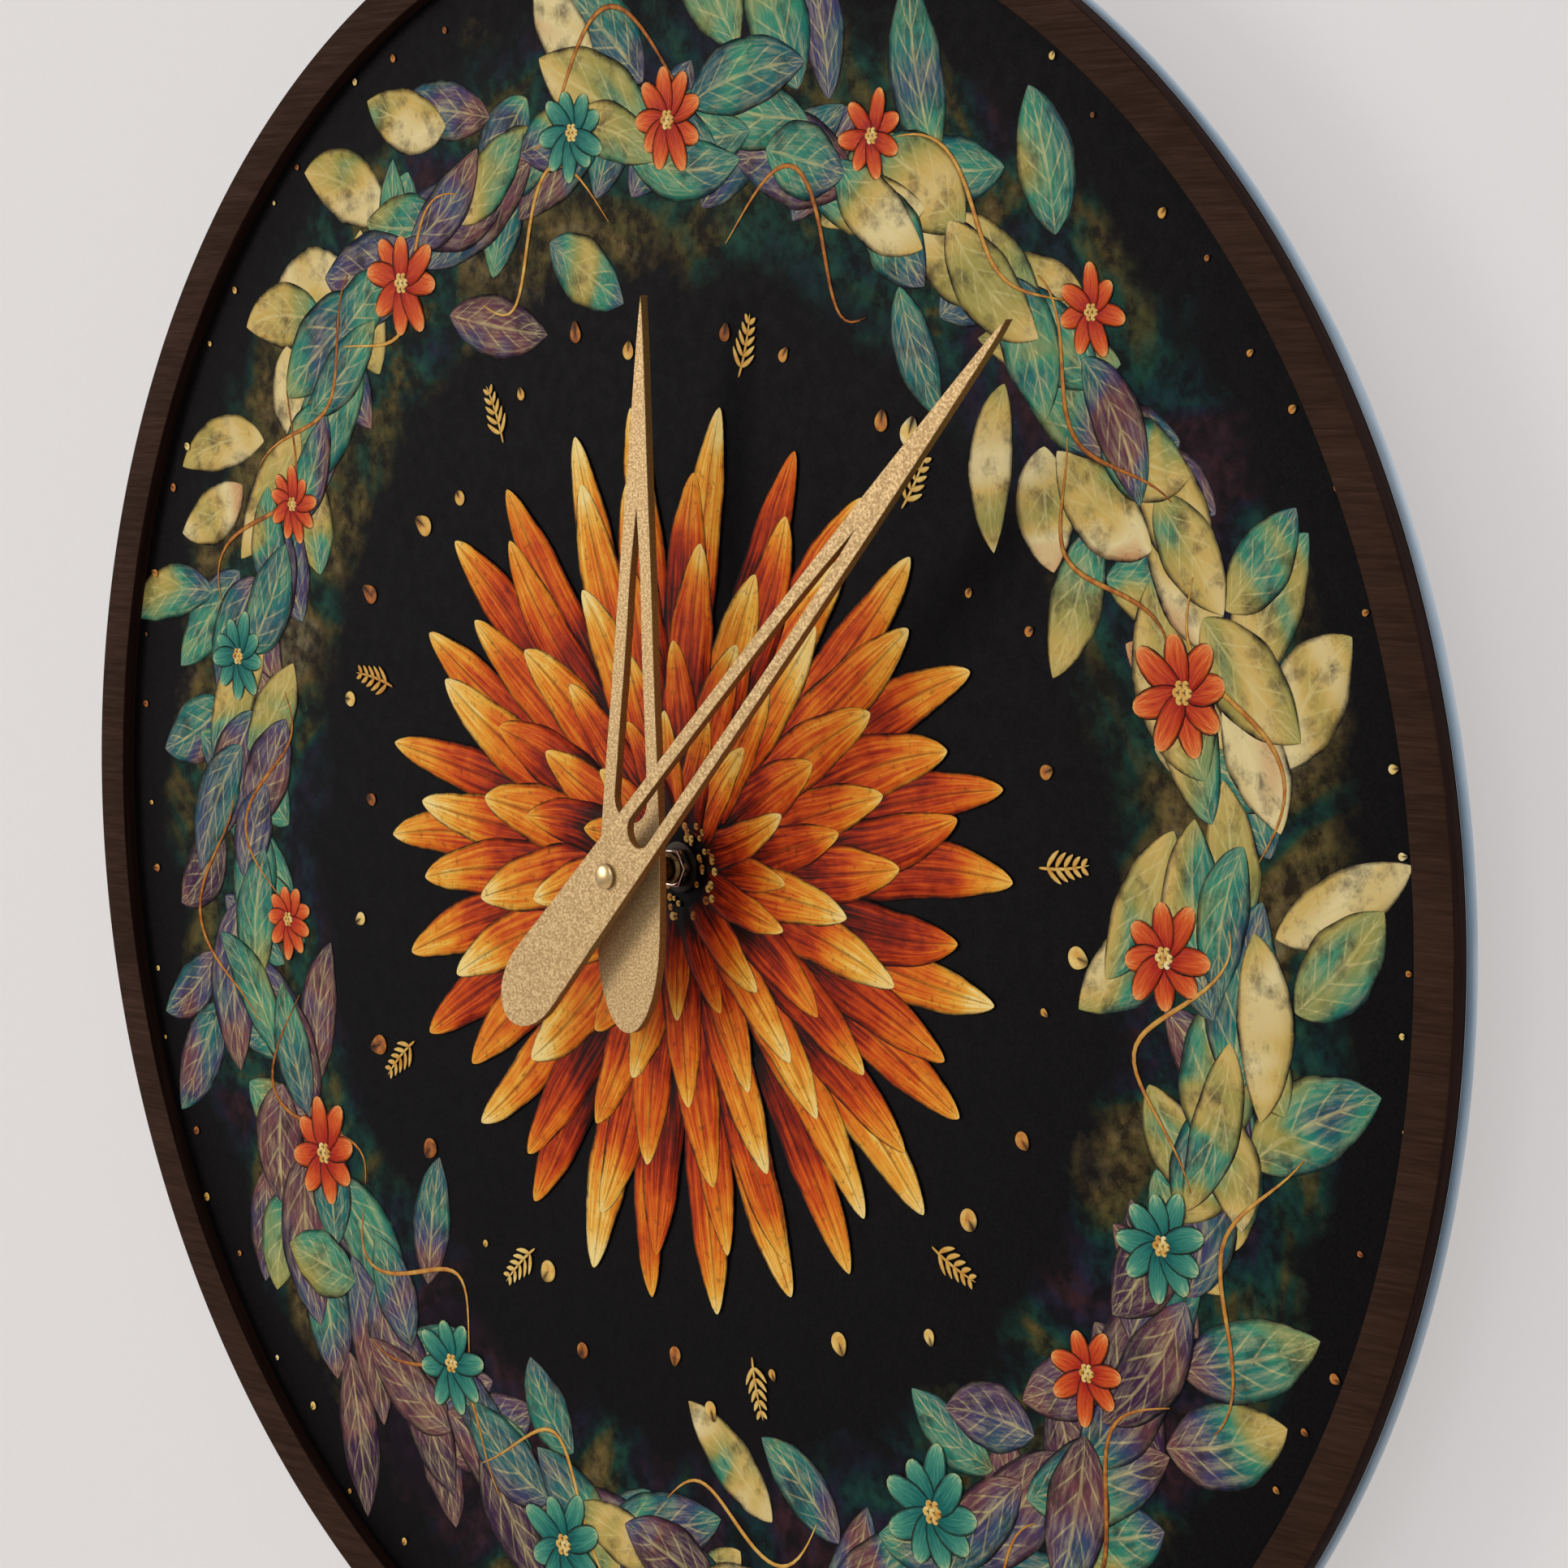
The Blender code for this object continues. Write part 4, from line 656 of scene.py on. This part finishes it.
def eased(node, edge, material):
    """A copy of a node's shape with small rounded edges, shown in place of the node."""
    mesh = bmesh.new()
    mesh.from_mesh(frame["nodes"][node].data)
    bmesh.ops.remove_doubles(mesh, verts=mesh.verts, dist=NODE_WELD)
    bmesh.ops.dissolve_limit(mesh, angle_limit=FLAT_ANGLE, verts=mesh.verts, edges=mesh.edges)
    sharp = [e for e in mesh.edges if len(e.link_faces) == 2 and e.calc_face_angle() > EASED_ANGLE]
    bmesh.ops.bevel(mesh, geom=sharp, offset=edge, segments=BEVEL_STEPS, profile=0.5, affect="EDGES",
                    clamp_overlap=True)
    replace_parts(mesh_object(node + "_shown", mesh, material, body_of(node), sharp=40.0), node)


def dress(material, *nodes):
    """Gives a finish to nodes that are shown in their CAD shape."""
    for node in nodes:
        data = frame["nodes"][node].data
        data.materials.clear()
        data.materials.append(material)


# Print

class Ink:
    """Flat painted shapes of one kind, gathered in one mesh that lies on the print."""

    order = 0                            # shapes painted so far, of every kind

    def __init__(self, face):
        self.points, self.faces, self.paint = [], [], []
        self.face = face

    def sheet(self, rows, seed):
        """A grid of (x, z) points in rows that run across the shape, just above all earlier shapes."""
        Ink.order += 1
        depth = self.face + INK_START + Ink.order * INK_STEP
        first = len(self.points)
        width = len(rows[0])
        for i, row in enumerate(rows):
            for j, (x, z) in enumerate(row):
                self.points.append((x, -depth, z))
                self.paint.append((i / (len(rows) - 1), 2 * j / (width - 1) - 1, seed))
        for i in range(len(rows) - 1):
            for j in range(width - 1):
                a = first + i * width + j
                self.faces.append((a, a + 1, a + width + 1, a + width))

    def blade(self, root, heading, length, half_width, bend, seed, swell, taper, rows, columns, wave=0.0,
              start=0.0):
        """A petal or leaf along a bent line: its half width swells from the root and tapers to the tip."""
        peak = swell / (swell + taper)
        top = peak ** swell * (1 - peak) ** taper
        point = Vector(root)
        grid = []
        before = 0.0
        for i in range(rows + 1):
            u = (1 - math.cos(math.pi * i / rows)) / 2
            angle = heading + bend * (u - 0.5)
            point = point + Vector((math.cos(angle), math.sin(angle))) * length * (u - before)
            before = u
            inner = start + (1 - start) * u
            swollen = max(inner, INK_LEAST) ** swell * max(1 - inner, INK_LEAST) ** taper
            half = half_width * swollen / top
            half *= 1 + wave * math.sin(u * WAVE_LENGTH_RATE + seed * WAVE_SEED_RATE)
            side = Vector((-math.sin(angle), math.cos(angle)))
            grid.append([tuple(point + side * half * (1 - 2 * j / columns)) for j in range(columns + 1)])
        self.sheet(grid, seed)

    def dot(self, centre, radius, seed, stretch=1.0, heading=0.0):
        """A round or drawn-out spot."""
        rings, spokes = 3, 20
        grid = []
        ahead = Vector((math.cos(heading), math.sin(heading)))
        side = Vector((-ahead.y, ahead.x))
        for k in range(spokes + 1):
            turn = math.tau * k / spokes
            pull = 1 + (stretch - 1) * max(0.0, math.cos(turn)) ** 3
            way = ahead * math.cos(turn) * pull + side * math.sin(turn)
            grid.append([tuple(Vector(centre) + way * radius * j / rings) for j in range(rings + 1)])
        self.sheet([list(row) for row in zip(*grid)], seed)

    def ribbon(self, points, half_width, seed):
        """A thin line that tapers to both ends."""
        grid = []
        count = len(points)
        for k, point in enumerate(points):
            ahead = Vector(points[min(k + 1, count - 1)]) - Vector(points[max(k - 1, 0)])
            side = Vector((-ahead.y, ahead.x)).normalized()
            half = half_width * (LINE_END + (1 - LINE_END) * math.sin(math.pi * k / (count - 1)))
            grid.append([tuple(Vector(point) + side * half * s) for s in (1, 0, -1)])
        self.sheet(grid, seed)

    def finish(self, name, material):
        """One thin piece of all the shapes, whose points keep their place in the paint."""
        mesh = bmesh.new()
        layer = mesh.verts.layers.float_vector.new("paint")
        verts = []
        for place, paint in zip(self.points, self.paint):
            vert = mesh.verts.new(place)
            vert[layer] = paint
            verts.append(vert)
        for face in self.faces:
            mesh.faces.new([verts[k] for k in face])
        made = mesh_object(name, mesh, material, "clock")
        thick = made.modifiers.new("thickness", "SOLIDIFY")
        thick.thickness = INK_THICKNESS
        thick.offset = 0.0


def around(radius, angle, centre=(0.0, 0.0)):
    """A point at a distance and an angle from a centre."""
    return (centre[0] + radius * math.cos(angle), centre[1] + radius * math.sin(angle))


def scattered(dice, count, slack, shift=0.0):
    """Angles that share out a full turn, each moved by up to a share of its step."""
    for k in range(count):
        yield math.tau * (k + shift + dice.uniform(-slack, slack)) / count


def draw_leaves(dice, leaves):
    """Four rows of leaves in a band round the dial."""
    for radius, count, lean, length, half in LEAF_ROWS:
        for turn in scattered(dice, count, slack=0.3):
            root = around(radius + dice.uniform(-ROW_SCATTER, ROW_SCATTER), turn)
            heading = turn + math.pi / 2 + lean * dice.choice((-1, 1, -1)) + dice.uniform(-0.35, 0.35)
            reach = length * dice.uniform(0.75, 1.15) * MM
            breadth = half * dice.uniform(0.8, 1.15) * MM
            leaves.blade(root, heading, reach, breadth, dice.uniform(-0.7, 0.7), dice.random(), **LEAF)


def draw_tendrils(dice, gold):
    """Thin gold lines that sway in and out among the leaves."""
    for k, turn in enumerate(scattered(dice, TENDRILS, slack=0.3)):
        start = WREATH_MIDDLE + dice.uniform(-TENDRIL_SCATTER, TENDRIL_SCATTER)
        sway = dice.uniform(6, 12) * MM
        steps = [j / TENDRIL_STEPS for j in range(TENDRIL_STEPS + 1)]
        path = [around(start + sway * math.sin(6 * t + k), turn + TENDRIL_REACH * t) for t in steps]
        gold.ribbon(path, TENDRIL_HALF_WIDTH, dice.uniform(0.2, 0.6))


def draw_blossoms(dice, blossoms, gold):
    """Small blossoms on the wreath, each with gold berries in its middle."""
    for turn in scattered(dice, BLOSSOMS, slack=0.25):
        centre = around(WREATH_MIDDLE + dice.uniform(-BLOSSOM_SCATTER, BLOSSOM_SCATTER), turn)
        tint = dice.random()
        size = dice.uniform(8, 13) * MM
        petals = dice.choice((7, 8, 9))
        twist = dice.uniform(0, math.tau)
        for j in range(petals):
            heading = twist + math.tau * j / petals + dice.uniform(-0.1, 0.1)
            reach = size * dice.uniform(0.85, 1.1)
            bend = dice.uniform(-0.4, 0.4)
            blossoms.blade(centre, heading, reach, size * BLOSSOM_BREADTH, bend, tint, **BLOSSOM_PETAL)
        for j in range(BERRIES):
            spot = around(size * BERRY_PLACE * (j > 0), j * math.tau / (BERRIES - 1), centre)
            gold.dot(spot, size * BERRY_RADIUS, dice.uniform(0.5, 1.0))


def draw_scatter(dice, gold):
    """Drops, dots and little sprigs in the dark gaps inside and outside the wreath."""
    for turn in scattered(dice, DROPS, slack=0.4):
        gold.dot(around(dice.uniform(*DROP_BAND) * MM, turn), dice.uniform(0.7, 2.4) * MM, dice.random(),
                 dice.uniform(1.0, 1.9), turn + dice.uniform(-0.4, 0.4))
    for turn in scattered(dice, RIM_DOTS, slack=0.4):
        gold.dot(around(dice.uniform(*RIM_BAND) * MM, turn), dice.uniform(0.4, 1.0) * MM, dice.random(),
                 dice.uniform(1.0, 2.0), turn)
    for turn in scattered(dice, SPRIGS, slack=0.2):
        root = around(dice.uniform(*SPRIG_BAND) * MM, turn)
        lean = turn + dice.uniform(-0.5, 0.5)
        tint = dice.uniform(0.4, 0.9)
        gold.blade(root, lean, SPRIG_LENGTH, SPRIG_HALF_WIDTH, 0.3, tint, **SPRIG_STEM)
        for j in range(1, SPRIG_PAIRS + 1):
            foot = around(j * SPRIG_STEP, lean, root)
            reach = SPRIG_LEAF_LENGTH - j * SPRIG_LEAF_SHRINK
            for way in (-1, 1):
                heading = lean + way * SPRIG_LEAF_LEAN
                gold.blade(foot, heading, reach, SPRIG_LEAF_HALF_WIDTH, -way * 0.5, tint, **SPRIG_LEAF)


def draw_bloom(dice, petals, gold):
    """A many-petalled bloom round the hub, the outer petals first, with stamens in its middle."""
    for ring, (inner, outer, half, count, start) in enumerate(BLOOM_RINGS):
        for turn in scattered(dice, count, slack=0.12, shift=0.5 * (ring % 2)):
            reach = (outer - inner) * dice.uniform(0.88, 1.0) * MM
            heading = turn + dice.uniform(-0.08, 0.08)
            breadth = half * dice.uniform(0.85, 1.05) * MM
            petals.blade(around(inner * MM, turn), heading, reach, breadth, dice.uniform(-0.45, 0.45),
                         dice.uniform(0.0, 1.0), start=start, **PETAL)
    for _ in range(STAMENS):
        spot = around(math.sqrt(dice.uniform(0.05, 1.0)) * STAMEN_REACH, dice.uniform(0, math.tau))
        gold.dot(spot, dice.uniform(0.5, 0.9) * MM, dice.uniform(0.2, 0.8))


def make_print():
    """The print's ground, with all that is painted on it. Gives the depth of the ground's front."""
    disc_front = depths("acrylic_disc")[1]
    hole = radii("acrylic_disc")[0]
    film_front = disc_front + FILM_FAR
    profile = washer_profile(hole, FILM_RADIUS, disc_front + FILM_NEAR, film_front, FILM_EDGE)
    ground = lathe("print_ground", profile, printed_ground(), "clock", RING_SEGMENTS)
    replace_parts(ground, "print_film")
    dice = random.Random(SEED)
    leaves, gold, blossoms, petals = (Ink(film_front) for _ in range(4))
    draw_leaves(dice, leaves)
    draw_tendrils(dice, gold)
    draw_blossoms(dice, blossoms, gold)
    draw_scatter(dice, gold)
    draw_bloom(dice, petals, gold)
    leaves.finish("print_leaves", painted_leaves())
    gold.finish("print_gold", painted_gold())
    blossoms.finish("print_blossoms", painted_blossoms())
    petals.finish("print_petals", painted_petals())
    return film_front


# Clock

def make_dial(film_front):
    """The wooden rim ring and the acrylic disc, whose edge has a finish of its own."""
    inner, outer = radii("rim_ring")
    profile = washer_profile(inner, outer, film_front, depths("rim_ring")[1], WOOD_EDGE)
    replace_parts(lathe("rim_ring_shown", profile, wood(), "clock", RING_SEGMENTS), "rim_ring")
    inner, outer = radii("acrylic_disc")
    profile = washer_profile(inner, outer, *depths("acrylic_disc"), ACRYLIC_EDGE)
    disc = lathe("acrylic_disc_shown", profile, acrylic(), "clock", RING_SEGMENTS)
    disc.data.materials.append(acrylic_edge())
    for face in disc.data.polygons:
        face.material_index = int(abs(face.normal.y) < 0.9)
    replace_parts(disc, "acrylic_disc")


def make_hands():
    """The two hands with rounded edges, and the domed cap nut before them."""
    gold = cast_gold()
    for node in ("hour_hand", "minute_hand"):
        loops = [finer(loop) for loop in front_loops(node)]
        made = rounded_plate(node + "_shown", loops, *depths(node), HAND_EDGE, gold, body_of(node))
        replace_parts(made, node)
    near, front = depths("cap_nut")
    radius = radii("cap_nut")[1]
    dome = [(radius * math.cos(a), near + CAP_RIM + (front - near - CAP_RIM) * math.sin(a))
            for a in [math.pi / 2 * k / DOME_STEPS for k in range(DOME_STEPS + 1)]]
    profile = [(0.0, near), (radius - CAP_EDGE, near), (radius, near + CAP_EDGE)] + dome
    bright = metal("bright_gold", (222, 188, 136), (206, 170, 118), 0.22, 0.32)
    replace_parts(lathe("cap_nut_shown", profile, bright, body_of("cap_nut")), "cap_nut")


def make_hub(film_front):
    """Washer, hex nut and threaded bush, and the brass pieces that turn in the bush."""
    chrome = metal("dark_chrome", (200, 176, 162), (166, 146, 134), 0.10, 0.2)
    brass = metal("brass", (122, 96, 58), (96, 74, 44), 0.26, 0.4)
    steel = metal("washer_steel", (56, 50, 45), (42, 38, 35), 0.42, 0.55)
    inner, outer = radii("steel_washer")
    profile = washer_profile(inner, outer, film_front, depths("steel_washer")[1], METAL_EDGE)
    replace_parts(lathe("steel_washer_shown", profile, steel, "clock"), "steel_washer")
    eased("hex_nut", NUT_EDGE, chrome)
    near, front = depths("threaded_bush")
    inner, outer = radii("threaded_bush")
    depth = depths("hex_nut")[1] - THREAD_PITCH
    profile = [(inner, near), (outer, near), (outer, depth)]
    while depth + THREAD_PITCH < front:
        profile += [(outer - THREAD_DEPTH, depth + THREAD_PITCH / 2), (outer, depth + THREAD_PITCH)]
        depth += THREAD_PITCH
    profile += [(outer - THREAD_DEPTH, front), (inner, front)]
    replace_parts(lathe("threaded_bush_shown", profile, brass, "clock"), "threaded_bush")
    dress(brass, "hour_hand_collet", "hour_wheel", "minute_arbor", "centre_wheel")


def make_movement():
    """The movement's shells, knob and cell with rounded edges, and finishes for the rest of it."""
    shell = plastic("shell_plastic", (40, 40, 43), (28, 28, 30), 0.34, 0.48)
    eased("movement_case", PLASTIC_EDGE, shell)
    eased("movement_cover", PLASTIC_EDGE, shell)
    eased("setting_knob", KNOB_EDGE, plastic("knob_plastic", (168, 34, 30), (142, 24, 22), 0.35, 0.5))
    low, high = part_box("battery_aa")
    eased("battery_aa", CELL_EDGE, cell_jacket(low.x, high.x))
    dress(plastic("plate_plastic", (188, 186, 178), (170, 168, 160), 0.45, 0.6), "middle_plate")
    dress(plastic("rubber", (26, 26, 26), (16, 16, 16), 0.7, 0.85, 700.0, 0.03 * MM), "rubber_washer")
    dress(metal("nickel", (200, 198, 190), (176, 174, 166), 0.2, 0.34),
          "contact_positive", "contact_negative", "quartz_crystal")
    dress(plastic("wheel_plastic", (224, 222, 210), (206, 204, 192), 0.4, 0.5),
          "intermediate_wheel", "second_wheel", "third_wheel", "motion_wheel")
    dress(metal("magnet", (92, 92, 96), (66, 66, 70), 0.4, 0.55), "rotor")
    dress(metal("lamination_iron", (150, 150, 154), (122, 122, 128), 0.3, 0.45), "stator", "coil_core")
    dress(plastic("bobbin_plastic", (62, 62, 62), (46, 46, 46), 0.4, 0.55), "coil_bobbin")
    dress(metal("enamelled_wire", (190, 104, 52), (140, 66, 30), 0.25, 0.4, 900.0), "coil_winding")
    dress(plastic("board_laminate", (30, 74, 52), (20, 56, 38), 0.35, 0.5), "circuit_board")


# Room, light and camera

def one_sided(look, surface):
    """Shows a surface from its front and leaves it clear from behind."""
    behind = look.add("NewGeometry").outputs["Backfacing"]
    both = look.add("MixShader", {0: behind, 1: surface, 2: look.add("BsdfTransparent").outputs[0]})
    look.feed(look.tree.nodes["Material Output"].inputs["Surface"], both.outputs[0])


def wall_paint():
    """Rolled paint. Where the wall is looked at, a share of it is a plain glow of the same colour."""
    look = Look("wall_paint", Roughness=0.9, Specular_IOR_Level=0.2)
    roller = look.noise(look.place(), 700.0)
    look.colour(look.ramp(roller, {0.3: WALL_COLOUR, 0.7: (226, 221, 219)}))
    look.bump(roller, 0.02 * MM)
    glow = look.add("Emission", {"Color": srgb(*WALL_COLOUR), "Strength": 1.0})
    path = look.add("LightPath").outputs
    mirrored = look.math("MAXIMUM", path["Is Glossy Ray"], path["Is Transmission Ray"])
    seen = look.math("MAXIMUM", path["Is Camera Ray"], mirrored)
    share = look.math("MULTIPLY", seen, WALL_GLOW)
    lit = look.add("MixShader", {0: share, 1: look.bsdf.outputs[0], 2: glow.outputs[0]})
    one_sided(look, lit.outputs[0])
    return look.material


def floor_paint():
    """Matt floor paint with a faint grain."""
    look = Look("floor_paint", Roughness=0.8)
    look.colour(look.ramp(look.noise(look.place(), 200.0), {0.3: (214, 210, 206), 0.7: (220, 216, 212)}))
    one_sided(look, look.bsdf.outputs[0])
    return look.material


def backdrop(name, points, material):
    """One flat face of the room."""
    data = bpy.data.meshes.new(name)
    data.from_pydata(points, [], [(0, 1, 2, 3)])
    data.materials.append(material)
    made = link(bpy.data.objects.new(name, data))
    return made


def make_room():
    """The wall that the clock hangs on, which throws no shadow, and the floor below."""
    half = ROOM_WIDTH / 2
    top = FLOOR_HEIGHT + WALL_HEIGHT
    wall = backdrop("wall", [(-half, WALL_GAP, FLOOR_HEIGHT), (half, WALL_GAP, FLOOR_HEIGHT),
                             (half, WALL_GAP, top), (-half, WALL_GAP, top)], wall_paint())
    wall.visible_shadow = False
    backdrop("floor", [(-half, -FLOOR_DEPTH, FLOOR_HEIGHT), (half, -FLOOR_DEPTH, FLOOR_HEIGHT),
                       (half, FLOOR_DEPTH, FLOOR_HEIGHT), (-half, FLOOR_DEPTH, FLOOR_HEIGHT)], floor_paint())


def area_light(name, place, watts, size, colour=(1.0, 1.0, 1.0)):
    """A square lamp that faces the hub."""
    lamp = bpy.data.lights.new(name, "AREA")
    lamp.shape = "SQUARE"
    lamp.size = size
    lamp.energy = watts
    lamp.color = colour
    made = link(bpy.data.objects.new(name, lamp))
    made.location = place
    made.rotation_euler = (-place).to_track_quat("-Z", "Y").to_euler()


def make_light():
    """A warm key from the left, a cool fill from the upper right, a lamp behind and an even world."""
    area_light("key", KEY_PLACE, KEY_WATTS, KEY_SIZE, KEY_COLOUR)
    area_light("fill", FILL_PLACE, FILL_WATTS, FILL_SIZE, FILL_COLOUR)
    area_light("rear", REAR_PLACE, REAR_WATTS, REAR_SIZE)
    world = bpy.data.worlds.new("studio")
    world.use_nodes = True
    background = world.node_tree.nodes["Background"]
    background.inputs["Color"].default_value = WORLD_COLOUR
    background.inputs["Strength"].default_value = WORLD_STRENGTH
    bpy.context.scene.world = world


def make_camera():
    """The camera at the photograph's viewing angle."""
    face = depths("rim_ring")[1]
    level = CAMERA_DISTANCE * math.cos(CAMERA_RISE)
    eye = Vector((level * math.sin(CAMERA_BEARING), -face - level * math.cos(CAMERA_BEARING),
                  CAMERA_DISTANCE * math.sin(CAMERA_RISE)))
    ahead = (Vector((AIM[0], -face, AIM[1])) - eye).normalized()
    level_right = ahead.cross(Vector((0.0, 0.0, 1.0))).normalized()
    level_up = level_right.cross(ahead)
    right = level_right * math.cos(CAMERA_ROLL) + level_up * math.sin(CAMERA_ROLL)
    up = right.cross(ahead)
    lens = bpy.data.cameras.new("camera")
    lens.lens = FOCAL_LENGTH_MM
    made = link(bpy.data.objects.new("camera", lens))
    made.matrix_world = Matrix.Translation(eye) @ Matrix((right, up, -ahead)).transposed().to_4x4()
    bpy.context.scene.camera = made


bpy.context.scene.view_settings.view_transform = "Standard"
film_face = make_print()
make_dial(film_face)
make_hub(film_face)
make_hands()
make_movement()
make_room()
make_light()
make_camera()
